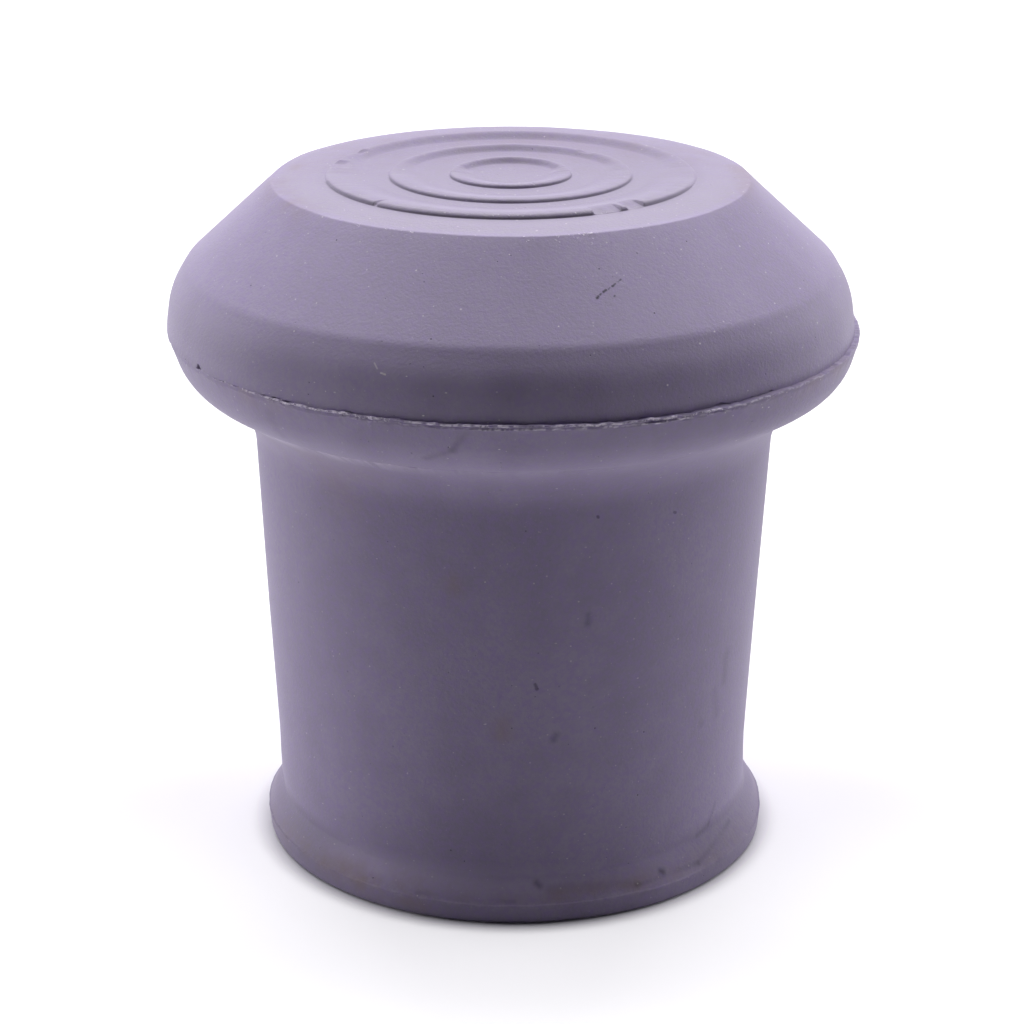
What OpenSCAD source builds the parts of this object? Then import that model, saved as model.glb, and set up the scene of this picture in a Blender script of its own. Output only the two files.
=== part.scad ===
// Rubber cane tip, moulded in one piece.
// It stands on its open mouth with the tread up, as it is shelved.
// Origin: centre of the mouth's rim, +Z up to the tread. Millimetres.
// It fits over the end of a round shaft, which goes up into the blind bore.

/* [Overall] */
// Height from the mouth's rim to the flat of the tread
height = 40; // [38:0.5:48]
// How far the tread half of the mould sits off the neck half, to the left
mould_shift_x = 0.2; // [0:0.05:0.4]
// How far the tread half of the mould sits off the neck half, to the back
mould_shift_y = 0.1; // [0:0.05:0.4]

/* [Shaft bore] */
// Diameter of the shaft that the tip is pushed on
shaft_d = 19; // [12:0.5:20]
// Depth of the blind bore, mouth to floor
bore_depth = 28; // [15:0.5:30]
// Lead-in chamfer round the mouth
mouth_chamfer = 0.8; // [0.2:0.1:1.2]

/* [Foot bead] */
// Outer radius of the foot at its moulding line
foot_r = 15.15; // [14.9:0.05:15.6]
// Radius on the foot's bottom edge
foot_round = 0.35; // [0.1:0.05:0.6]
// Height of the moulding line on the foot
foot_line_z = 1.2; // [0.8:0.1:1.6]
// Height at which the bead runs out into the neck
bead_top_z = 2.6; // [2.3:0.1:3]

/* [Neck] */
// Neck radius just above the bead
neck_foot_r = 14.16; // [13.8:0.02:14.4]
// Neck radius low down, where its draft begins
neck_low_r = 14.2; // [13.9:0.02:14.4]
// Neck radius where the fillet would meet it without rounding
neck_top_r = 15.2; // [14.8:0.02:15.5]
// Radius of the fillet between neck and cap
neck_fillet = 3.4; // [2:0.1:3.6]

/* [Cap] */
// Radius at the parting line
parting_r = 19.95; // [19.75:0.05:20.3]
// Distance of the parting line below the tread
parting_drop = 8.55; // [8.4:0.05:8.9]
// Radius of the crease under the cap
crease_r = 17.75; // [17.4:0.05:18]
// Distance of the crease below the parting line
crease_drop = 3.25; // [3:0.05:3.4]
// Radius of the bulge between parting line and crease
under_round = 3.3; // [2:0.1:3.3]
// Length of the facet that joins band and bevel, before its ends are rounded
shoulder_facet = 1.84; // [1.7:0.02:2]
// Slope of that facet, degrees from upright
shoulder_slope = 30.8; // [28:0.2:33]
// Radius where the facet meets the band
shoulder_low_round = 4.5; // [2:0.1:5]
// Radius where the facet meets the bevel
shoulder_high_round = 1.8; // [0.5:0.1:3]
// Draft of the band above the parting line, degrees from upright
band_draft = 7.75; // [5:0.05:9]
// Slope of the bevel, degrees from upright
bevel_angle = 47.25; // [46.5:0.25:48.5]
// How far the flash at the parting line stands out
flash = 0.08; // [0.02:0.01:0.15]

/* [Tread] */
// Radius of the tread's worn edge
tread_r = 13.65; // [13.45:0.05:13.9]
// How far the worn edge lies below the flat
tread_wear = 0.12; // [0.05:0.01:0.2]
// Radius of the tread that is still flat
tread_flat_r = 11.8; // [11.4:0.1:12.4]
// Radii of the three wear ribs, inside to outside
rib_r = [3.2, 6.6, 10.15]; // [3:0.05:10.5]
// Widths of the wear ribs at their foot
rib_w = [0.6, 0.74, 0.9]; // [0.5:0.02:1]
// Height of the wear ribs
rib_h = 0.34; // [0.2:0.02:0.5]

/* [Hidden] */
$fn = 96;
RUBBER = [0.53, 0.48, 0.6];
ARC_STEP = 6;        // degrees between two points of a rounded corner
OVER = 0.2;          // how far a cut runs past what it cuts
FOOT_LEAN = 0.12;    // how much smaller the foot is at its bottom edge
LINE_STEP = 0.1;     // step of the bead at the foot's moulding line
LINE_RISE = 0.05;    // height of that step
BEAD_SWELL = 0.56;   // how far the bead stands out of the neck
BEAD_ROUND = 2;      // radius of the bead
BEAD_HOLLOW = 0.4;   // radius of the hollow between bead and neck
NECK_LOW_Z = 6;      // height at which the neck's draft begins
NECK_ROUND = 20;     // radius that eases the neck into its draft
FILLET_SLOPE = 55;   // slope of the fillet at the crease, degrees from upright
BULGE = [0.8, 0.62]; // corner of the bulge: in from the parting line, up from the crease
FLASH_FOOT = 0.1;    // height of the flash from its root to its top
FLASH_LIP = 0.04;    // thickness of its outer lip
GAP = [0.2, 0.22];   // crevice over the flash: how high and how deep
LEDGE = 0.07;        // how much smaller the band is than the parting line
EDGE_ROUND = 0.25;   // radius on the tread's edge
RIB_LEAN = 0.08;     // how far each side of a rib leans in, foot to crest
RIB_ROUND = 0.2;     // radius on a rib's crest
RIB_SINK = 0.1;      // how far a rib is rooted in the tread

parting_z = height - parting_drop;
crease_z = parting_z - crease_drop;
bore_r = shaft_d / 2;
// The straight end of the fillet runs down from the crease to the neck.
neck_top_z = crease_z - (crease_r - neck_top_r) / tan(FILLET_SLOPE);
bulge_corner = [parting_r - BULGE.x, crease_z + BULGE.y];
// Both ends of the shoulder's facet: the lower one lies on the line of the band, and the
// upper one on the line of the bevel.
band_foot = [parting_r - LEDGE, parting_z + GAP.x];
tread_edge = [tread_r, height - tread_wear];
facet = shoulder_facet * [-sin(shoulder_slope), cos(shoulder_slope)];
band_rise = (tread_edge.x - band_foot.x - facet.x
             + (tread_edge.y - band_foot.y - facet.y) * tan(bevel_angle))
          / (tan(bevel_angle) - tan(band_draft));
shoulder_low = band_foot + band_rise * [-tan(band_draft), 1];
shoulder_high = shoulder_low + facet;

// What wear has taken off the ribs, one row a nick:
// [rib, bearing in degrees, length along the rib, height left standing at its middle,
// degrees by which the worn top falls outwards]
NICKS = [
    [2, -134.2, 0.48, 0.1, 0],
    [2, -60.9, 1.1, 0.2, 22],
    [2, -56.6, 0.2, 0.04, 0],
    [2, -50.6, 0.72, 0.13, 18],
    [2, 151, 0.55, 0.1, 0],
    [2, 169, 0.55, 0.14, 0],
    [1, 47.8, 0.52, 0.15, 0]
];

function unit(v) = v / norm(v);

// Points of the arc that rounds the corner b between a and c. The radius is cut back
// where the arc would run past one of them.
function corner_arc(a, b, c, radius) =
    let (
        to_a = unit(a - b),
        to_c = unit(c - b),
        half = acos(to_a * to_c) / 2,
        r = min(radius, min(norm(a - b), norm(c - b)) * tan(half)),
        centre = b + unit(to_a + to_c) * r / sin(half),
        start = b + to_a * r / tan(half) - centre,
        stop = b + to_c * r / tan(half) - centre,
        first = atan2(start.y, start.x),
        turn = (atan2(stop.y, stop.x) - first + 540) % 360 - 180,
        steps = ceil(abs(turn) / ARC_STEP)
    )
    [for (i = [0:steps]) let (t = first + turn * i / steps) centre + r * [cos(t), sin(t)]];

// Closed outline through corners given as [x, y, radius of the corner]
function outline(corners) =
    let (n = len(corners), at = [for (c = corners) [c.x, c.y]])
    [for (i = [0:n - 1])
        each corners[i].z > 0
            ? corner_arc(at[(i + n - 1) % n], at[i], at[(i + 1) % n], corners[i].z)
            : [at[i]]];

// Neck half of the moulding: foot, bead, neck, fillet and the cap's underside
module neck_half() {
    rotate_extrude()
        polygon(outline([
            [0, 0, 0],
            [foot_r - FOOT_LEAN, 0, foot_round],
            [foot_r, foot_line_z, 0],
            [foot_r - LINE_STEP, foot_line_z + LINE_RISE, 0],
            [neck_foot_r + BEAD_SWELL, (foot_line_z + bead_top_z) / 2, BEAD_ROUND],
            [neck_foot_r, bead_top_z, BEAD_HOLLOW],
            [neck_low_r, NECK_LOW_Z, NECK_ROUND],
            [neck_top_r, neck_top_z, neck_fillet],
            [crease_r, crease_z, 0],
            [bulge_corner.x, bulge_corner.y, under_round],
            [parting_r, parting_z - FLASH_FOOT, 0],
            [parting_r + flash, parting_z - FLASH_LIP, 0],
            [parting_r + flash, parting_z, 0],
            [0, parting_z, 0]
        ]));
}

// Tread half of the moulding: band, shoulder, bevel and tread
module tread_half() {
    rotate_extrude()
        polygon(outline([
            [0, parting_z, 0],
            [band_foot.x - GAP.y, parting_z, 0],
            [band_foot.x, band_foot.y, 0],
            [shoulder_low.x, shoulder_low.y, shoulder_low_round],
            [shoulder_high.x, shoulder_high.y, shoulder_high_round],
            [tread_edge.x, tread_edge.y, EDGE_ROUND],
            [tread_flat_r, height, 0],
            [0, height, 0]
        ]));
}

// One wear rib: a low ring with steep sides and a rounded crest
module rib(radius, width) {
    rotate_extrude()
        translate([radius, 0])
            polygon(outline([
                [-width / 2, height - RIB_SINK, 0],
                [width / 2, height - RIB_SINK, 0],
                [width / 2, height, 0],
                [width / 2 - RIB_LEAN, height + rib_h, RIB_ROUND],
                [RIB_LEAN - width / 2, height + rib_h, RIB_ROUND],
                [-width / 2, height, 0]
            ]));
}

// Cut that takes a stretch of a rib down to what is left standing
module nick(radius, width, bearing, length, left, fall) {
    rotate([0, 0, bearing])
        translate([radius, 0, height + left])
            rotate([0, fall, 0]) rotate([90, 0, 90])
                linear_extrude(height = width + 2 * OVER, center = true)
                    polygon([
                        [-length / 2, 0],
                        [length / 2, 0],
                        [length / 2 + rib_h, rib_h + OVER],
                        [-length / 2 - rib_h, rib_h + OVER]
                    ]);
}

// Blind bore for the shaft, with its lead-in at the mouth
module shaft_bore() {
    translate([0, 0, -OVER])
        cylinder(r = bore_r, h = bore_depth + OVER);
    translate([0, 0, -OVER])
        cylinder(r1 = bore_r + mouth_chamfer + OVER, r2 = bore_r, h = mouth_chamfer + OVER);
}

// The ribs as wear has left them
module worn_ribs() {
    difference() {
        for (i = [0:len(rib_r) - 1])
            rib(rib_r[i], rib_w[i]);
        for (n = NICKS)
            let (rib = n[0])
            nick(rib_r[rib], rib_w[rib], bearing = n[1], length = n[2], left = n[3], fall = n[4]);
    }
}

module cane_tip() {
    color(RUBBER)
        difference() {
            union() {
                neck_half();
                translate([-mould_shift_x, mould_shift_y, 0]) {
                    tread_half();
                    worn_ribs();
                }
            }
            shaft_bore();
        }
}

cane_tip();
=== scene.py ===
"""Looks of the rubber cane tip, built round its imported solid.

The tip stands on its open mouth with the tread up.  The origin is the centre of the
mouth's rim and +Z runs up the bore's axis.  The classes hold their sizes in millimetres,
and a length becomes metres where a mesh or a material is made.  Bearings are in degrees
about +Z, counted from +X, so that -90 is the front.
"""
from __future__ import annotations

import logging
import math
import sys
from dataclasses import dataclass, field
from enum import Enum

import bpy
import numpy as np
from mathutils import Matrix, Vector

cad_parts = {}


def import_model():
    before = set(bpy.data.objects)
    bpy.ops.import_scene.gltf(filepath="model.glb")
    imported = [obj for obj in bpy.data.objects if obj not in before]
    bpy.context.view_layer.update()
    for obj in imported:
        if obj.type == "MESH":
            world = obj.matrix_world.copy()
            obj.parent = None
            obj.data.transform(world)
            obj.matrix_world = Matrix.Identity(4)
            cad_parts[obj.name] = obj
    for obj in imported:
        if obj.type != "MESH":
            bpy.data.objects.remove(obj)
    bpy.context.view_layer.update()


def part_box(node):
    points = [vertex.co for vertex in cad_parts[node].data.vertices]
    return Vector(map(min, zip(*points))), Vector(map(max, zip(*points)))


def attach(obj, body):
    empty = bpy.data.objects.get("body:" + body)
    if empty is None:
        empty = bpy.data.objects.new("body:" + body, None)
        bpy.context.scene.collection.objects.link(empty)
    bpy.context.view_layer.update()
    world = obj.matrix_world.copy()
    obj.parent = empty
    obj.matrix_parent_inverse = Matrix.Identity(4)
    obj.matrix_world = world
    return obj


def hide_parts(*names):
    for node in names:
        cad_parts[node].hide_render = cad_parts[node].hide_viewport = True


Array = np.ndarray
Colour = tuple[float, float, float]
Place = tuple[float, float]
Move = tuple[Array, Array | float]
Span = tuple[float, float]
Sockets = dict[str, bpy.types.NodeSocket]

MM = 0.001
NODE = "cane_tip"
FIT_LIMIT = 1e-4
FULL_BETWEEN = (0.0, 1.0, 1.0, 0.0)
MASKS = ("grime", "soil", "pale", "fleck", "lit", "cleft", "bore", "shelf", "slope", "keen")
log = logging.getLogger("cane_tip")


# -------------------- helpers


def linear(red: float, green: float, blue: float) -> Colour:
    """Linear colour from display values.

    Args:
        red: Red, 0 to 255.
        green: Green, likewise.
        blue: Blue, likewise.

    Returns:
        The colour.
    """
    display = np.array([red, green, blue]) / 255.0
    light = np.where(display <= 0.04045, display / 12.92, ((display + 0.055) / 1.055) ** 2.4)
    return tuple(float(v) for v in light)


def within(value: Array) -> Array:
    """The values, held between 0 and 1."""
    return np.clip(value, 0.0, 1.0)


def ease(value: Array) -> Array:
    """Smooth step of a value from 0 to 1: three squares less two cubes."""
    t = within(value)
    return t * t * (3.0 - 2.0 * t)


def apart(bearing: Array, centre: float) -> Array:
    """Degrees between bearings and a centre, always the shorter way round."""
    return np.abs((bearing - centre + 180.0) % 360.0 - 180.0)


def hump(value: Array, centre: float, width: float) -> Array:
    """Bell curve: e to the minus square of the distance from the centre over the width."""
    return np.exp(-(((value - centre) / width) ** 2))


def ring_noise(bearing: Array, knots: int, seed: int) -> Array:
    """Random values round the ring, from -1 to 1, that close on themselves.

    Seeded values stand at evenly spaced knots, and an eased step leads from each to the next.

    Args:
        bearing: Bearings in degrees.
        knots: How many values stand round the ring.
        seed: Seed of the values.

    Returns:
        The noise at each bearing.
    """
    values = np.random.default_rng(seed).uniform(-1.0, 1.0, knots)
    place = (bearing % 360.0) / 360.0 * knots
    before = np.floor(place).astype(int)
    step = ease(place - before)
    return values[before % knots] * (1.0 - step) + values[(before + 1) % knots] * step


def ring_sum(bearing: Array, *terms: tuple[float, int, int]) -> Array:
    """Sum of ring noises, each given by its amount, its knots and its seed."""
    return sum(amount * ring_noise(bearing, knots, seed) for amount, knots, seed in terms)


def ripple(bearing: Array, height: Array, waves: int, seed: int) -> Array:
    """Soft unevenness of a moulded wall, from about -1 to 1.

    The mean of a few cosines of (count x bearing + phase + pitch x height), so that it closes
    round the ring and drifts with the height.

    Args:
        bearing: Bearings in degrees, one to a column.
        height: Heights in millimetres, one to a row.
        waves: How many cosines are added; the n-th has n + 1 waves round the ring.
        seed: Seed of the phases and pitches.

    Returns:
        The unevenness, rows by columns.
    """
    rng = np.random.default_rng(seed)
    count = np.arange(2, waves + 2)
    phase = rng.uniform(0.0, 2.0 * math.pi, waves)
    pitch = rng.uniform(-0.5, 0.5, waves)
    angle = (
        np.radians(bearing)[None, None, :] * count[:, None, None]
        + phase[:, None, None]
        + pitch[:, None, None] * height[None, :, None]
    )
    return np.cos(angle).mean(axis=0) * math.sqrt(waves) * 0.7


@dataclass(frozen=True)
class Arc:
    """Part of the way round the ring.

    Attributes:
        start: Bearing from which it is fully open, degrees.
        stop: Bearing at which it begins to close; it lies counter-clockwise of start.
        ramp: Degrees that each end takes.
    """

    start: float
    stop: float
    ramp: float

    def at(self, bearing: Array) -> Array:
        """How open it is at each bearing: 1 between its ends and eased down to 0 outside."""
        half = 0.5 * (self.stop - self.start)
        return ease((half + self.ramp - apart(bearing, self.start + half)) / self.ramp)


@dataclass(frozen=True)
class Cover(Arc):
    """An arc with the share that it covers or adds, or its height in mm.

    Attributes:
        share: The share at its middle.
    """

    share: float = 1.0

    def over(self, bearing: Array) -> Array:
        """Its share at each bearing."""
        return self.share * self.at(bearing)


def covered(bearing: Array, covers: tuple[Cover, ...], rest: float = 0.0) -> Array:
    """Sum of the shares at each bearing, on top of a share that holds all round."""
    return rest + sum(cover.over(bearing) for cover in covers)


def along(bearing: Array, arcs: tuple[Arc, ...], name: str, rest: float) -> Array:
    """A value of the arcs, eased from one arc to the next.

    Args:
        bearing: Bearings in degrees.
        arcs: The arcs in order round the ring.
        name: Which value of theirs.
        rest: The value outside all of them.

    Returns:
        The value at each bearing.
    """
    value = np.full(len(bearing), rest)
    for arc in arcs:
        mask = arc.at(bearing)
        value = value * (1.0 - mask) + getattr(arc, name) * mask
    return value


@dataclass(frozen=True)
class Tooth:
    """A lop-sided tooth, 1 at its peak.

    Attributes:
        peak: Where its peak is, mm.
        above: How far past the peak it has fallen to 0, mm.
        below: How far before the peak it starts from 0, mm.
    """

    peak: float
    above: float
    below: float

    def at(self, value: Array) -> Array:
        """Its height: 1 less the distance from the peak over that side's length, never under 0."""
        over = (value - self.peak) / np.where(value > self.peak, self.above, -self.below)
        return within(1.0 - over)


def put(name: str, data: bpy.types.ID) -> bpy.types.Object:
    """A new object with this data, in the scene."""
    piece = bpy.data.objects.new(name, data)
    bpy.context.scene.collection.objects.link(piece)
    return piece


# -------------------- outline


class Stretch(Enum):
    """Stretches of the outline, in the order in which the skin runs along them."""

    BORE = "bore"
    FOOT = "foot"
    NECK = "neck"
    CREASE = "crease"
    BULGE = "bulge"
    FLASH = "flash"
    CREVICE = "crevice"
    CAP = "cap"
    OUTER_RIB = "outer rib"
    TREAD = "tread"

    @property
    def on_tread_half(self) -> bool:
        """Whether the tread half of the mould formed it."""
        return self in (CREVICE, CAP, OUTER_RIB, TREAD)

    @property
    def fine(self) -> bool:
        """Whether its rows carry the small frays, and so the full count of columns."""
        return self in (CREASE, FLASH, CREVICE, OUTER_RIB)


BORE, FOOT, NECK, CREASE, BULGE, FLASH, CREVICE, CAP, OUTER_RIB, TREAD = Stretch


@dataclass(frozen=True)
class Corner:
    """A corner of the outline.

    Attributes:
        r: Radius of the corner, mm.
        z: Height of the corner, mm.
        stretch: Stretch that the rows up to it belong to.
        turn: Radius that rounds it, mm; 0 leaves it sharp.
        arc: Rows round that radius, less one.
        run: Rows on the straight before it.
    """

    r: float
    z: float
    stretch: Stretch
    turn: float = 0.0
    arc: int = 2
    run: int = 0


@dataclass
class Rows:
    """Rows of the skin, from the bore's floor round the outside to the tread's centre.

    Attributes:
        r: Radius of each row, mm.
        z: Height of each row, mm.
        stretch: Stretch of each row.
        lift: How far up a rib's side each row is, 0 to 1.
        rib: Which rib each row is on, or -1.
    """

    r: Array
    z: Array
    stretch: Array
    lift: Array
    rib: Array

    @property
    def radius(self) -> Array:
        """Radius of each row as a column, mm."""
        return self.r[:, None]

    @property
    def height(self) -> Array:
        """Height of each row as a column, mm."""
        return self.z[:, None]

    def of(self, *stretches: Stretch) -> Array:
        """1 for rows of these stretches and 0 for the rest, as a column."""
        return np.isin(self.stretch, [s.value for s in stretches]).astype(float)[:, None]

    def near(self, place: Place, width: float) -> Array:
        """How near each row is to a place of the outline: a bell curve, as a column."""
        return hump(np.hypot(self.radius - place[0], self.height - place[1]), 0.0, width)

    def then(self, other: Rows) -> Rows:
        """These rows followed by others."""
        names = ("r", "z", "stretch", "lift", "rib")
        return Rows(*(np.concatenate([getattr(self, n), getattr(other, n)]) for n in names))


def rows_through(corners: list[Corner]) -> Rows:
    """Rows along straight runs that are joined by arcs.

    An arc of radius q in a corner of half angle h touches both runs at q / tan(h) from the
    corner, and its centre is at q / sin(h) along the line that halves the corner.

    Args:
        corners: The corners in order; the first and the last stay sharp.

    Returns:
        The rows, with no rib on them.
    """
    at = np.array([(c.r, c.z) for c in corners])
    points, names = [], []
    for i, corner in enumerate(corners):
        bend = at[i][None, :]
        if corner.turn > 0.0 and 0 < i < len(corners) - 1:
            back = (at[i - 1] - at[i]) / np.linalg.norm(at[i - 1] - at[i])
            ahead = (at[i + 1] - at[i]) / np.linalg.norm(at[i + 1] - at[i])
            half = math.acos(float(np.clip(back @ ahead, -1.0, 1.0))) / 2.0
            middle = (back + ahead) / np.linalg.norm(back + ahead)
            centre = at[i] + middle * corner.turn / math.sin(half)
            spokes = [at[i] + way * corner.turn / math.tan(half) - centre for way in (back, ahead)]
            first, last = (math.atan2(s[1], s[0]) for s in spokes)
            sweep = (last - first + math.pi) % (2.0 * math.pi) - math.pi
            angle = first + sweep * np.linspace(0.0, 1.0, corner.arc + 1)
            bend = centre + corner.turn * np.stack([np.cos(angle), np.sin(angle)], axis=1)
        if points and corner.run:
            share = np.linspace(0.0, 1.0, corner.run + 2)[1:-1, None]
            points.append(points[-1][-1] * (1.0 - share) + bend[0] * share)
            names += [corner.stretch.value] * corner.run
        points.append(bend)
        names += [corner.stretch.value] * len(bend)
    line = np.concatenate(points)
    return Rows(line[:, 0], line[:, 1], np.array(names), np.zeros(len(line)), np.full(len(line), -1))


# -------------------- moulding


@dataclass(frozen=True)
class ShaftBore:
    """Blind bore that the shaft is pushed into, open at the mouth.

    Attributes:
        radius: Its radius, mm.
        depth: Height of its floor above the mouth, mm.
        chamfer: Width and height of the chamfer round the mouth, mm.
    """

    radius: float = 9.5
    depth: float = 28.0
    chamfer: float = 0.8

    def corners(self) -> list[Corner]:
        """Corners from the middle of the bore's floor down to the mouth."""
        return [
            Corner(0.0, self.depth, BORE),
            Corner(self.radius, self.depth, BORE, 0.3, 3, 3),
            Corner(self.radius, self.chamfer, BORE, 0.2, 2, 6),
            Corner(self.radius + self.chamfer, 0.0, BORE, 0.12, 3, 2),
        ]


@dataclass(frozen=True)
class NeckHalf:
    """Half of the moulding below the parting line: foot, bead, neck and the cap's underside.

    Attributes:
        foot_r: Radius of the foot at its moulding line, mm.
        foot_round: Radius of the foot's lower edge.
        foot_line_z: Height of the moulding line.
        foot_lean: How much less the foot's radius is at the floor.
        line_step: How far the skin steps in over the moulding line.
        line_rise: Height of that step.
        bead_swell: How far the bead over the line stands out from the neck's foot.
        bead_top_z: Height at which the bead ends.
        neck_foot_r: Radius of the neck at its foot.
        neck_low: Radius and height at which the neck's straight flare begins.
        neck_top_r: Radius of the neck under the fillet.
        neck_fillet: Radius of the fillet under the cap.
        fillet_slope: Slope over the fillet, degrees from level.
        crease: Radius and height of the crease under the cap.
        bulge: Radius and height of the corner that the cap's underside is rounded from.
        bulge_round: Radius of that rounding.
        parting_r: Radius of the wall at the parting line.
        parting_z: Height of the parting line.
        sway: How far the neck's middle stands to the side of the axis, as height and distance.
        swell: Where the cap's underside is fuller, and by how much.
        swell_z: Heights between which that fullness fades upwards.
        flare: Where the foot's lower lip stands out further, and by how much.
        crease_shown: Where the ridge along the crease stands highest, over its lower share.
    """

    foot_r: float = 15.15
    foot_round: float = 0.35
    foot_line_z: float = 1.2
    foot_lean: float = 0.12
    line_step: float = 0.1
    line_rise: float = 0.05
    bead_swell: float = 0.56
    bead_top_z: float = 2.6
    neck_foot_r: float = 14.16
    neck_low: Place = (14.2, 6.0)
    neck_top_r: float = 15.2
    neck_fillet: float = 3.4
    fillet_slope: float = 55.0
    crease: Place = (17.75, 28.2)
    bulge: Place = (19.15, 28.82)
    bulge_round: float = 3.3
    parting_r: float = 19.95
    parting_z: float = 31.45
    sway: tuple[Place, ...] = ((2.6, -0.05), (5.0, -0.11), (14.0, -0.11), (24.0, -0.05), (28.0, 0.0))
    swell: Cover = Cover(-48.0, -22.0, 28.0, 0.1)
    swell_z: Span = (30.2, 31.4)
    flare: Cover = Cover(-55.0, -20.0, 22.0, 0.14)
    crease_shown: Cover = Cover(-150.0, -104.0, 10.0, 0.8)

    def drift(self, height: Array) -> Array:
        """How far the neck's middle stands to the side of the axis at each height, mm."""
        return np.interp(height, [z for z, _ in self.sway], [x for _, x in self.sway])

    def corners(self) -> list[Corner]:
        """Corners from the mouth's rim up to the foot of the flash."""
        slope = math.tan(math.radians(self.fillet_slope))
        neck_top_z = self.crease[1] - (self.crease[0] - self.neck_top_r) / slope
        bead_z = 0.5 * (self.foot_line_z + self.bead_top_z)
        return [
            Corner(self.foot_r - self.foot_lean, 0.0, FOOT, self.foot_round, 5, 3),
            Corner(self.foot_r, self.foot_line_z, FOOT, 0.05, 3, 3),
            Corner(self.foot_r - self.line_step, self.foot_line_z + self.line_rise, FOOT, 0.04, 2, 0),
            Corner(self.neck_foot_r + self.bead_swell, bead_z, FOOT, 2.0, 4, 1),
            Corner(self.neck_foot_r, self.bead_top_z, FOOT, 0.4, 5, 1),
            Corner(*self.neck_low, NECK, 20.0, 4, 3),
            Corner(self.neck_top_r, neck_top_z, NECK, self.neck_fillet, 8, 13),
            Corner(*self.crease, CREASE, 0.12, 5, 0),
            Corner(*self.bulge, BULGE, self.bulge_round, 13, 1),
        ]


@dataclass(frozen=True)
class Fray(Arc):
    """A stretch of the flash with its looks.

    Attributes:
        edge: How far its upper edge stands out, as a share of the full flash.
        fold: How far a second edge below it stands out, likewise.
        fleck: How densely torn flecks lie on it, 0 to 1.
        spread: How densely flecks lie on the wall beneath it.
    """

    edge: float
    fold: float
    fleck: float
    spread: float


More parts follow.
